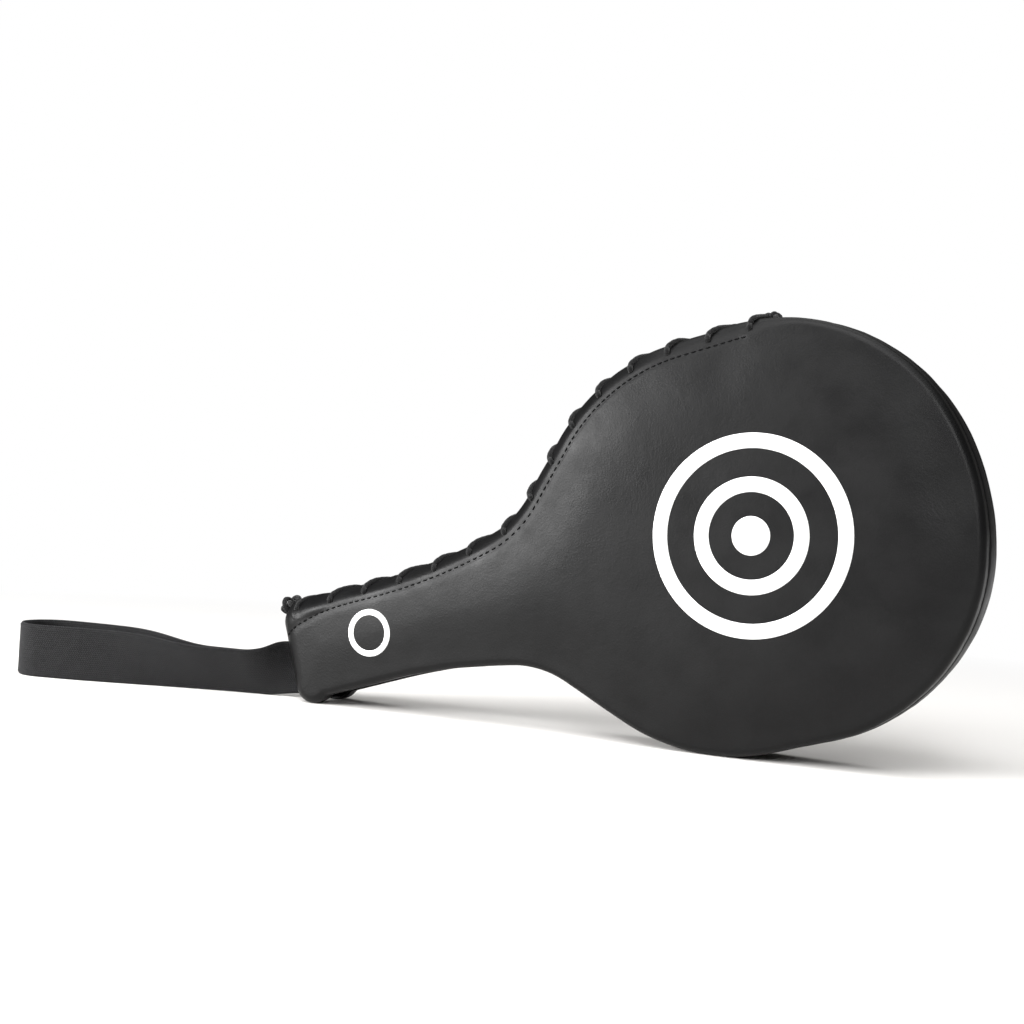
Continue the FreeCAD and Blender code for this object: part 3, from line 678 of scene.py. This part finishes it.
LEATHER_TONES = (0.0028, 0.0028, 0.0030), (0.0042, 0.0042, 0.0044)
GRAIN = 1250


def leather_material(name, roughness):
    """Smooth synthetic leather: a fine pebble grain, faint stretch marks and uneven polish."""
    n = Nodes(name, roughness, specular=0.17)
    n.colours(n.noise(28, detail=3), *LEATHER_TONES, 0.32, 0.68)
    polish = n.noise(55, detail=4, rough=0.6)
    low, high = roughness - 0.05, roughness + 0.07
    n.link(n.spread(polish, 0.3, 0.7, low, high), n.shader.inputs["Roughness"])
    n.bump(n.noise(170, detail=3), 0.00035, 0.25)
    n.bump(n.cells(GRAIN), 0.00012, 0.35)
    n.bump(n.noise(3400, detail=2), 0.00004, 0.5)
    n.bump(n.noise(9, detail=0), 0.0030, 0.5)
    return n.material


def lace_material():
    """Round braided cord: fine yarns crossing at a slant, over the braid that the mesh has."""
    n = Nodes("braided_lace", 0.68, specular=0.12)
    n.sheen(0.12, 0.45)
    n.colours(n.noise(900, detail=3), (0.0025, 0.0025, 0.0028), (0.0120, 0.0120, 0.0125))
    yarn = n.node("ShaderNodeTexWave", Scale=46.0, Distortion=0.6, bands_direction="DIAGONAL")
    n.link(n.place.outputs["UV"], yarn.inputs["Vector"])
    n.bump(yarn.outputs["Fac"], 0.00010, 0.6)
    n.bump(n.noise(4200, detail=2), 0.00005, 0.5)
    return n.material


YARN_PITCH, RIB_PITCH = 1.3, 1.1


def webbing_material():
    """Ribbed elastic: a tight zigzag of yarns with firmer selvedges; UV is in millimetres."""
    n = Nodes("elastic_webbing", 0.8, specular=0.10)
    n.sheen(0.10, 0.5)
    n.shader.inputs["Sheen Tint"].default_value = (0.6, 0.6, 0.62, 1)
    parts = n.node("ShaderNodeSeparateXYZ")
    n.link(n.place.outputs["UV"], parts.inputs["Vector"])
    along, across = parts.outputs["X"], parts.outputs["Y"]
    slant = n.maths("ADD", along, n.maths("PINGPONG", across, RIB_PITCH))
    yarn = n.maths("SINE", n.maths("MULTIPLY", slant, 2 * math.pi / YARN_PITCH), None)
    rib = n.maths("SINE", n.maths("MULTIPLY", across, 2 * math.pi / RIB_PITCH), None)
    weave = n.maths("ADD", n.maths("MULTIPLY", yarn, 0.32), n.maths("MULTIPLY", rib, 0.18))
    weave = n.maths("ADD", weave, 0.5)
    fuzz = n.noise(900, detail=3)
    # The colour follows the weave's relief: it is darker in the grooves between the yarns, which is
    # painted shade, mixed half and half with random fuzz in the yarns' tone.
    tone = n.maths("ADD", n.maths("MULTIPLY", weave, 0.5), n.maths("MULTIPLY", fuzz, 0.5))
    n.colours(tone, (0.0008, 0.0008, 0.0009), (0.023, 0.023, 0.024), 0.34, 0.72)
    n.bump(weave, 0.00022, 0.8)
    n.bump(fuzz, 0.00012, 0.4)
    return n.material


def thread_material():
    n = Nodes("sewing_thread", 0.65, specular=0.08)
    n.colours(n.noise(2500, detail=1), (0.0015, 0.0015, 0.0017), (0.0040, 0.0040, 0.0043))
    twist = n.node("ShaderNodeTexWave", Scale=900.0, Distortion=1.0, bands_direction="DIAGONAL")
    n.link(n.place.outputs["Object"], twist.inputs["Vector"])
    n.bump(twist.outputs["Fac"], 0.00005, 0.5)
    return n.material


def print_material():
    """Screen-printed ink: even and matt, with the leather's grain just showing through."""
    n = Nodes("white_print", 0.48, specular=0.4)
    n.colours(n.noise(60, detail=4), (0.80, 0.80, 0.80), (0.86, 0.86, 0.855))
    n.bump(n.cells(GRAIN), 0.00008, 0.25)
    return n.material


def foam_material():
    n = Nodes("closed_cell_foam", 0.85, specular=0.2)
    n.colours(n.noise(400, detail=3), (0.09, 0.09, 0.10), (0.15, 0.15, 0.16))
    n.bump(n.cells(1100), 0.0003, 0.6)
    return n.material


def board_material():
    n = Nodes("fibreboard", 0.7, specular=0.3)
    n.colours(n.noise(260, detail=6, rough=0.7), (0.33, 0.23, 0.14), (0.52, 0.39, 0.26))
    n.bump(n.noise(900, detail=4), 0.0001, 0.5)
    return n.material


LEATHER_BLACK = leather_material("black_leather", 0.40)
BAND_BLACK = leather_material("band_leather", 0.43)
LACE_BLACK = lace_material()
WEBBING_BLACK = webbing_material()
THREAD_BLACK = thread_material()
PRINT_WHITE = print_material()

# -- Covers.

SURFACE = {}

for face in FACE_Y:
    points, faces = cover_shape(face)
    name = face + "_cover"
    cover = finish_piece(name + "_leather", points, faces, LEATHER_BLACK, name, "leather")
    SURFACE[face] = BVHTree.FromPolygons([Vector(p) for p in points], faces)


def drop_on_face(face, spots):
    """Height over the middle plane where the cover's skin lies under some x, z places."""
    sign = FACE_Y[face]
    heights = []
    for x, z in spots:
        hit = SURFACE[face].ray_cast(Vector((x, sign * 40, z)), Vector((0, -sign, 0)))
        heights.append(abs(hit[0].y) if hit[0] else HALF_THICK)
    return np.array(heights)


# -- Rim band: the gusset between the covers, with its edges turned into the seams.

BAND_ROWS = 17
BAND_BULGE, BAND_TURN, BAND_INSIDE = 0.55, 1.9, 2.6
RIM_STARTS = 6.0


def rim_stations():
    """Numbers of the stations on the rim side, in order, from the tip's top to the heel."""
    order = np.argsort(FINE.along)
    past = FINE.along[order] - LACE_REACH - RIM_STARTS
    return order[(past > 0) & ((FINE.laced[order] < 0.9) | (past < 20))]


RIM = rim_stations()


def rim_rows(heights, insets, rows_in_middle):
    along = FINE.along[RIM]
    rows = []
    for height, inset in zip(heights, insets):
        ring = FINE.ring(inset)[RIM]
        share = 1 - min(abs(height) / BAND_HALF, 1) ** 2
        crease = wave(along, 0.14, 4.1, 9.0 + height * 0.12) + wave(along, 0.22, 19.0, 4.0)
        push = crease * (0.35 + 0.65 * share) * rows_in_middle
        ring = ring + FINE.outward[RIM] * push[:, None]
        rows.append(with_height(ring, height))
    return rows


def make_band():
    """A strip with an outer and an inner skin, closed at its long edges and its ends."""
    heights = np.linspace(-BAND_HALF - 0.2, BAND_HALF + 0.2, BAND_ROWS)
    bulge = -BAND_BULGE * (1 - (heights / BAND_HALF) ** 2)
    turned = BAND_TURN * smooth(np.abs(heights), BAND_HALF - 1.4, BAND_HALF + 0.2) ** 2
    outer = rim_rows(heights, bulge + turned, 1.0)
    inner = rim_rows(heights[::-1], np.full(BAND_ROWS, BAND_INSIDE), 0.0)
    rows = outer + inner
    count = len(RIM)
    faces = stack_faces(len(rows), count, closed=False)
    faces += band_faces((len(rows) - 1) * count, 0, count, closed=False)
    faces.append(tuple(number * count for number in range(len(rows))))
    faces.append(tuple(number * count + count - 1 for number in reversed(range(len(rows)))))
    points = np.concatenate(rows)
    points = points + follow_swell(points) * 0.5
    finish_piece("rim_band_leather", points, faces, BAND_BLACK, "rim_band", "leather")


make_band()

# -- Tubes: laces, threads and knots.


def smooth_path(points, spacing, closed=False):
    """Catmull-Rom curve through some points, cut into steps about one spacing long."""
    points = np.asarray(points, float)
    if closed:
        guide = np.concatenate([points[-1:], points, points[:2]])
    else:
        first, last = 2 * points[0] - points[1], 2 * points[-1] - points[-2]
        guide = np.concatenate([[first], points, [last]])
    dense = []
    for a, b, c, d in zip(guide, guide[1:], guide[2:], guide[3:]):
        for t in np.linspace(0, 1, 12, endpoint=False):
            dense.append(0.5 * (2 * b + (c - a) * t + (2 * a - 5 * b + 4 * c - d) * t**2
                                + (3 * b - a - 3 * c + d) * t**3))
    dense.append(points[0] if closed else points[-1])
    dense = np.array(dense)
    line = distances_along(dense)
    count = max(4, round(line[-1] / spacing))
    at = np.linspace(0, line[-1], count + (0 if closed else 1), endpoint=not closed)
    return look_up(at, line, dense), line[-1]


def path_frames(path, closed):
    """Two unit vectors across the path at each point, turning as little as they can."""
    if closed:
        ahead = np.roll(path, -1, axis=0) - np.roll(path, 1, axis=0)
    else:
        ahead = np.gradient(path, axis=0)
    ahead = unit(ahead)
    side = np.cross(ahead[0], (0.3, 0.9, 0.2))
    sides = []
    for direction in ahead:
        side = side - direction * (side @ direction)
        side = side / np.linalg.norm(side)
        sides.append(side)
    sides = np.array(sides)
    return sides, np.cross(ahead, sides)


def tube(path, radius, around, relief=None, closed=False, taper=0):
    """Points and faces of a tube; relief gives its radius over angle and distance."""
    sides, ups = path_frames(path, closed)
    line = distances_along(path)
    angles = np.arange(around) * 2 * math.pi / around
    points = []
    for number, place in enumerate(path):
        size = radius
        if taper:
            end = min(line[number], line[-1] - line[number]) / taper
            size = radius * math.sqrt(max(0.02, 1 - (1 - min(end, 1)) ** 2))
        swell = size * (relief(angles, line[number]) if relief else 1.0)
        ring = np.outer(np.cos(angles) * swell, sides[number])
        ring = ring + np.outer(np.sin(angles) * swell, ups[number])
        points.append(place + ring)
    return np.concatenate(points), ring_faces(len(path), around, meets=closed)


def joined(parts):
    """Several points-and-faces pairs as one."""
    points, faces, start = [], [], 0
    for some, quads in parts:
        points.append(some)
        faces += [tuple(v + start for v in quad) for quad in quads]
        start += len(some)
    return np.concatenate(points), faces


def braid(angles, distance):
    """Relief of a diamond braid: strands that wind both ways and cross."""
    turn = 2 * math.pi * distance / BRAID_LAY
    left = np.cos(4 * angles + turn)
    right = np.cos(4 * angles - turn)
    return 1 + 0.055 * np.maximum(left, right)


LACE_RADIUS, LACE_SIDES, LACE_STEP, KNOT_STEP = 1.3, 16, 0.62, 0.55
BRAID_LAY = 3.4
CROSSING_GRIP, CROSSING_HEAD = -1.9, -1.0
CROSSING_GAP = 1.6
LACE_HOLE = 15.6


def over_skin(along, height, lift):
    """A point off the covers' skin beside the lacing, at a height and lifted along its normal."""
    spot, outward = FINE.at(along)
    top = HALF_THICK - EDGE_ROUND
    rise = np.clip((abs(height) - top) / EDGE_ROUND, 0, 1)
    lean = math.asin(rise)
    drop = EDGE_ROUND * (1 - math.cos(lean)) - lift * math.cos(lean)
    place = spot[0] - outward[0] * drop
    return (place[0], height + math.copysign(lift * math.sin(lean), height), place[1])


def lace_points(first_side, extra):
    """Guide points of one half of the lace, from the handle's end to the top of the head."""
    guides = []
    side = first_side
    for number, along in enumerate(HOLES_ALONG[:-1]):
        head = smooth(along, 60, 170)
        rise = CROSSING_GRIP + (CROSSING_HEAD - CROSSING_GRIP) * head
        rise += 0.5 * noise.noise(Vector((number * 0.83, first_side, 7.7)))
        sway = 0.8 * noise.noise(Vector((number * 1.31, first_side, 2.2)))
        guides += [
            (along - 0.6, side * (LACE_HOLE - 0.3), -3.4),
            (along, side * LACE_HOLE, -0.4),
            (along + 1.5, side * (LACE_HOLE - 1.0), 0.4),
            (along + 4.6, side * (LACE_HOLE - 4.4), 0.4),
            (along + 7.8 + sway, side * 3.8, 0.1 * head + extra * 0.4),
            (along + 10.6 + sway, 0.0, rise + extra),
            (along + 13.8, -side * 3.2, 0.6 * rise - 0.2),
            (along + 17.0, -side * 6.0, -2.8),
        ]
        side = -side
    last = HOLES_ALONG[-1]
    return guides + [
        (last - 0.4, side * (LACE_HOLE - 0.3), -3.4),
        (last, side * LACE_HOLE, -0.4),
        (last + 1.8, side * (LACE_HOLE - 1.4), 1.3),
        (last + 4.0, side * 6.0, 1.6),
        (last + 5.6, side * 3.0, 1.5),
        (last + 7.2, 0.0, 0.6),
    ]


def make_lace():
    halves = []
    for first_side, extra in ((-1, 0.0), (1, CROSSING_GAP)):
        guides = [over_skin(*guide) for guide in lace_points(first_side, extra)]
        path, length = smooth_path(guides, LACE_STEP)
        print("half of the lace, in mm:", round(length, 1))
        halves.append(tube(path, LACE_RADIUS, LACE_SIDES, braid))
    lace = finish_piece("lace_cord", *joined(halves), LACE_BLACK, "lace", "lace")
    add_tube_uv(lace, LACE_SIDES)


def add_tube_uv(piece, around):
    """UV of a tube: across runs once round it, along is in millimetres over ten."""
    layer = piece.data.uv_layers.new(name="tube")
    flat = np.zeros(len(piece.data.loops) * 2, np.float32)
    for polygon in piece.data.polygons:
        rings = [v // around for v in polygon.vertices]
        turns = [v % around for v in polygon.vertices]
        wrap = max(turns) - min(turns) > around / 2
        for loop, ring, turn in zip(polygon.loop_indices, rings, turns):
            turn = turn + around if wrap and turn < around / 2 else turn
            flat[2 * loop] = ring * LACE_STEP / 10
            flat[2 * loop + 1] = turn / around
    layer.data.foreach_set("uv", flat)


make_lace()


def knot_loop(centre, across, along, outward, size):
    """A closed overhand knot, drawn tight, as a path."""
    turns = np.linspace(0, 2 * math.pi, 90, endpoint=False)
    u = (np.sin(turns) + 2 * np.sin(2 * turns)) * size
    v = (np.cos(turns) - 2 * np.cos(2 * turns)) * size
    w = -np.sin(3 * turns) * size * 1.25
    return centre + np.outer(u, along) + np.outer(v, across) + np.outer(w, outward)


def make_knot(name, node, along, rise, size, slide=0.0):
    """A tight knot on the slit, with two short ends that run back under the hems."""
    (place,), (outward,) = FINE.at(along)
    out = np.array([outward[0], 0, outward[1]])
    line = np.array([outward[1], 0, -outward[0]])
    across = np.array([0.0, 1.0, 0.0])
    centre = np.array([place[0], slide, place[1]]) + out * rise
    loop, _ = smooth_path(knot_loop(centre, across, line, out, size), KNOT_STEP, closed=True)
    parts = [tube(loop, LACE_RADIUS * 0.95, LACE_SIDES, braid, True)]
    for side in (-1, 1):
        guides = [
            centre + line * 1.0,
            centre + line * 2.2 + across * side * 3.4 - out * 0.4,
            centre + line * 3.2 + across * side * 6.2 - out * 2.0,
            centre + line * 3.0 + across * side * 7.0 - out * 4.6,
        ]
        path, _ = smooth_path(guides, KNOT_STEP)
        parts.append(tube(path, LACE_RADIUS, LACE_SIDES, braid))
    knot = finish_piece(name, *joined(parts), LACE_BLACK, node, "lace")
    add_tube_uv(knot, LACE_SIDES)


make_knot("handle_knot_cord", "handle_lace_knot", along=3.5, rise=2.6, size=1.9, slide=-7.0)
make_knot("head_knot_cord", "head_lace_knot", along=LACE_REACH + 7.0, rise=1.6, size=1.1)

# -- Topstitching and rim seams.


THREAD, SEAM_THREAD, THREAD_SIDES, THREAD_TAPER = 0.34, 0.36, 8, 0.35
STITCH_ARCH, STITCH_DIVE = 0.22, 0.75
SEAM_INSET, SEAM_RISE = 0.75, 0.15


def make_topstitch(face):
    sign = FACE_Y[face]
    line = stitch_line()
    step = unit(np.gradient(line, axis=0))
    shares = np.linspace(-0.5, 0.5, 9)
    parts = []
    for place, direction in zip(line, step):
        spots = place + np.outer(shares * STITCH_LENGTH, direction)
        heights = drop_on_face(face, spots)
        arch = STITCH_ARCH - STITCH_DIVE * (2 * np.abs(shares)) ** 3
        path = with_height(spots, sign * (heights + arch))
        parts.append(tube(path, THREAD, THREAD_SIDES, taper=THREAD_TAPER))
    name = face + "_topstitch"
    finish_piece(name + "_thread", *joined(parts), THREAD_BLACK, name, "thread")


def make_rim_seam(face):
    """Thread down in the crease between cover and band: a line that dips at each stitch."""
    sign = FACE_Y[face]
    path = with_height(FINE.ring(SEAM_INSET)[RIM], sign * (BAND_HALF + SEAM_RISE))
    path, _ = smooth_path(path[::2], 0.8)

    def stitched(angles, distance):
        return 0.75 + 0.35 * abs(math.sin(math.pi * distance / STITCH_PITCH)) ** 0.5 + 0 * angles

    name = face + "_rim_seam"
    seam = tube(path, SEAM_THREAD, THREAD_SIDES, stitched)
    finish_piece(name + "_thread", *seam, THREAD_BLACK, name, "thread")


for face in FACE_Y:
    make_topstitch(face)
    make_rim_seam(face)

# -- Printed marks: films that follow the covers' skin.

PRINT_RISE, PRINT_SINK = 0.07, 0.25


def make_print(face, mark, centre_x, outer, inner):
    sign = FACE_Y[face]
    around = max(48, round(2 * math.pi * outer / 1.4))
    steps = max(2, round((outer - inner) / 1.5))
    radii = np.linspace(max(inner, 0.02), outer, steps + 1)
    angles = np.arange(around) * 2 * math.pi / around
    rows = []
    for lift, chosen in ((PRINT_RISE, radii), (-PRINT_SINK, radii[::-1])):
        for radius in chosen:
            spots = np.stack([centre_x + radius * np.cos(angles), radius * np.sin(angles)], axis=1)
            rows.append(with_height(spots, sign * (drop_on_face(face, spots) + lift)))
    faces = ring_faces(len(rows), around, meets=inner > 0)
    name = f"{face}_{mark}"
    finish_piece(name + "_print", np.concatenate(rows), faces, PRINT_WHITE, name, "print")


for face in FACE_Y:
    make_print(face, "target_ring", TARGET_X, TARGET_OUTER, TARGET_OUTER - TARGET_LINE)
    make_print(face, "target_inner_ring", TARGET_X, TARGET_INNER, TARGET_INNER - TARGET_LINE)
    make_print(face, "target_dot", TARGET_X, TARGET_DOT, 0)
    make_print(face, "grip_badge", BADGE_X, BADGE_OUTER, BADGE_OUTER - BADGE_LINE)

# -- Wrist strap: elastic webbing that leaves the handle's slot as two plies, stands on its low
# edge on the floor and opens into a loop.

TAIL_INSIDE = 14.0
BIGHT = (STRAP_GAP + WEBBING_THICK) / 2
BIGHT_AT = STRAP_LENGTH - BIGHT - WEBBING_THICK / 2
ELASTIC = 1.7
LEAN, LEAN_ENDS, SETTLE = 31.0, (50, 118), 24.0


def strap_directions():
    """Along and over directions of the loop, and its lowest height, from the CAD strap."""
    low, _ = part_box("wrist_strap")
    nodes = np.array([v.co for v in frame["nodes"]["wrist_strap"].data.vertices])
    away = nodes - np.array(ROOT)
    far = away[np.linalg.norm(away[:, :2], axis=1) > 0.85 * STRAP_LENGTH * MM]
    heading = far.mean(axis=0)
    along = Vector((heading[0], heading[1], 0)).normalized()
    across = Vector((along.y, -along.x, 0))
    if across.y > 0:
        across = -across
    return along, across, low.z


STRAP_ALONG, STRAP_OVER, FLOOR = strap_directions()


def half_gap(a):
    """Half the distance between the plies' middles, some way out from the handle."""
    rest = ELASTIC / 2 + 0.15
    return rest + (BIGHT - rest) * smooth(a, PLIES_RUN - 6, BIGHT_AT) ** 1.15


def loop_plan():
    """Plan of the webbing's middle line: distance along and distance over, in millimetres."""
    out = [(a, half_gap(a)) for a in np.linspace(-TAIL_INSIDE, BIGHT_AT, 60)]
    turn = []
    for angle in np.linspace(90, -90, 25)[1:-1]:
        wide = math.radians(angle)
        turn.append((BIGHT_AT + BIGHT * math.cos(wide), BIGHT * math.sin(wide)))
    return out + turn + [(a, -gap) for a, gap in reversed(out)]


def webbing_up(a):
    """Direction of the webbing's width: square to the handle at its end, then upright."""
    turn = smooth(a, 0, SETTLE)
    up = EDGEWAYS.lerp(Vector((0, 0, 1)), turn).normalized()
    lean = math.radians(LEAN * smooth(a, -2, SETTLE + 8) * (1 - smooth(a, *LEAN_ENDS)))
    over = STRAP_OVER - up * STRAP_OVER.dot(up)
    return up * math.cos(lean) + over.normalized() * math.sin(lean)


def webbing_low(a, over):
    """Where the webbing's low edge is, in the row frame, in metres."""
    turn = smooth(a, -4, 12)
    side = Vector((0, -1, 0)).lerp(STRAP_OVER, turn).normalized()
    if a <= 0:
        base = ROOT - LENGTHWAYS * a * MM
    else:
        drop = (ROOT.z - FLOOR) * smooth(a, 0, SETTLE)
        base = ROOT + STRAP_ALONG * a * MM - Vector((0, 0, drop))
    return base + side * over * MM


def webbing_section():
    """Share of the width and offset from the middle, round the webbing's section."""
    shares = np.linspace(0, 1, 25)
    edge = np.minimum(shares, 1 - shares) * WEBBING_WIDTH
    fat = ELASTIC / 2 * np.sqrt(np.clip(1 - (1 - np.clip(edge / 0.9, 0, 1)) ** 2, 0.04, 1))
    fat = fat + 0.10 * np.exp(-(((edge - 1.3) / 0.7) ** 2))
    return list(zip(shares, fat)) + list(zip(shares[::-1], -fat[::-1]))


def make_webbing():
    path, length = smooth_path([(a, over, 0.0) for a, over in loop_plan()], 1.0)
    lows = np.array([webbing_low(a, over) for a, over, _ in path])
    ups = np.array([webbing_up(a) for a, _, _ in path])
    ahead = np.gradient(lows + ups * WEBBING_WIDTH / 2 * MM, axis=0)
    thick = unit(np.cross(ahead, ups))
    section = webbing_section()
    travelled = np.arange(len(path)) * length / (len(path) - 1)
    waver = wave(travelled, 0.25, 26.0, 1.5)
    points, coords = [], []
    for number in range(len(path)):
        for share, offset in section:
            cup = 0.35 * math.cos(math.pi * (share - 0.5)) * waver[number] * 4
            width = share * WEBBING_WIDTH + 0.25 * (share - 0.5) * waver[number] * 2
            spot = lows[number] + ups[number] * width * MM
            points.append(spot + thick[number] * (offset + cup) * MM)
            coords.append((travelled[number], share * WEBBING_WIDTH))
    faces = ring_faces(len(path), len(section), meets=False)
    strap = make_object("wrist_strap_webbing", points, faces, body=None)
    layer = strap.data.uv_layers.new(name="webbing")
    flat = np.array([coords[loop.vertex_index] for loop in strap.data.loops], np.float32)
    layer.data.foreach_set("uv", flat.ravel())
    strap.data.materials.append(WEBBING_BLACK)
    print("webbing, in mm:", round(length, 1))
    return strap


strap = make_webbing()
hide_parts("wrist_strap", "strap_tail")
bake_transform(strap)

# -- The CAD pieces that stay: what is inside, the tongue behind the lacing and the end panel.

KEPT = {
    "core_board": board_material(),
    "lace_tongue": BAND_BLACK,
    "handle_end_panel": BAND_BLACK,
    "strap_tack_thread": THREAD_BLACK,
}
FOAM_GREY = foam_material()
for node in frame["nodes"]:
    if "foam" in node:
        KEPT[node] = FOAM_GREY
for node, material in KEPT.items():
    thing = frame["nodes"][node]
    thing.data.materials.clear()
    thing.data.materials.append(material)

# -- Floor, light and camera, in metres and degrees.

CAMERA_PLACE = (0.3501, -0.7131, 0.1107)
CAMERA_YAW, CAMERA_PITCH, CAMERA_ROLL = 24.33, -0.36, -3.80
CAMERA_LENS = 56.25
FLOOR_HALF, GLOW_FROM, GLOW_TO = 9.0, 0.24, 0.80
FLOOR_WHITE = (0.87, 0.856, 0.835, 1)
FILL_COLOUR, FILL_STRENGTH = (1.0, 0.97, 0.93, 1), 0.08


def make_floor():
    """A white sweep of floor, whose far part glows as bright as the backdrop."""
    mesh = bpy.data.meshes.new("floor")
    corners = [(x * FLOOR_HALF, y * FLOOR_HALF, 0) for x, y in ((-1, -1), (1, -1), (1, 1), (-1, 1))]
    mesh.from_pydata(corners, [], [(0, 1, 2, 3)])
    floor = add_object("floor", mesh)
    n = Nodes("white_floor", 0.9, specular=0.0)
    n.shader.inputs["Base Color"].default_value = FLOOR_WHITE
    parts = n.node("ShaderNodeVectorMath", operation="LENGTH")
    n.link(n.place.outputs["Object"], parts.inputs[0])
    glow = n.node("ShaderNodeEmission", Strength=1.0)
    blend = n.node("ShaderNodeMixShader")
    n.link(n.spread(parts.outputs["Value"], GLOW_FROM, GLOW_TO, 0.0, 1.0), blend.inputs[0])
    n.link(n.shader.outputs["BSDF"], blend.inputs[1])
    n.link(glow.outputs["Emission"], blend.inputs[2])
    out = n.tree.nodes["Material Output"]
    n.link(blend.outputs["Shader"], out.inputs["Surface"])
    mesh.materials.append(n.material)


def make_world():
    """Pure white to the camera, and a faint warm light to everything else."""
    world = bpy.data.worlds.new("studio")
    world.use_nodes = True
    tree = world.node_tree
    seen = tree.nodes["Background"]
    lit = tree.nodes.new("ShaderNodeBackground")
    for node, colour, strength in ((seen, (1, 1, 1, 1), 1.0), (lit, FILL_COLOUR, FILL_STRENGTH)):
        node.inputs["Color"].default_value = colour
        node.inputs["Strength"].default_value = strength
    path = tree.nodes.new("ShaderNodeLightPath")
    choice = tree.nodes.new("ShaderNodeMixShader")
    tree.links.new(path.outputs["Is Camera Ray"], choice.inputs[0])
    tree.links.new(lit.outputs["Background"], choice.inputs[1])
    tree.links.new(seen.outputs["Background"], choice.inputs[2])
    tree.links.new(choice.outputs["Shader"], tree.nodes["World Output"].inputs["Surface"])
    bpy.context.scene.world = world


def add_light(name, place, target, size, watts):
    """A rectangular softbox that faces its target."""
    light = bpy.data.lights.new(name, "AREA")
    light.shape = "RECTANGLE"
    light.size, light.size_y = size
    light.energy = watts
    lamp = add_object(name, light)
    lamp.location = place
    lamp.rotation_euler = (Vector(target) - Vector(place)).to_track_quat("-Z", "Y").to_euler()


def add_camera():
    """Where the photograph was taken from: low, in front of the head and well to the right."""
    turn = Matrix.Rotation(math.radians(CAMERA_YAW), 3, "Z")
    turn = turn @ Matrix.Rotation(math.radians(CAMERA_PITCH), 3, "X")
    turn = turn @ Matrix.Rotation(math.radians(CAMERA_ROLL), 3, "Y")
    facing = Matrix((turn.col[0], turn.col[2], -turn.col[1])).transposed()
    data = bpy.data.cameras.new("camera")
    data.lens = CAMERA_LENS
    data.sensor_width = 36
    camera = add_object("camera", data)
    camera.matrix_world = Matrix.Translation(Vector(CAMERA_PLACE)) @ facing.to_4x4()
    bpy.context.scene.camera = camera


make_floor()
make_world()
add_light("key_softbox", (-0.66, -0.80, 0.30), (0.0, 0, 0.09), (0.5, 0.34), 19)
add_light("top_softbox", (0.1, 0.1, 1.9), (0, 0, 0), (2.6, 2.0), 26)
add_light("front_top_softbox", (0.0, -0.62, 0.95), (0.05, 0, 0.1), (1.2, 0.9), 14)
add_light("right_softbox", (0.52, -1.0, 0.52), (0.25, 0, 0.14), (0.4, 0.4), 4.5)
add_camera()
bpy.context.scene.view_settings.view_transform = "Standard"
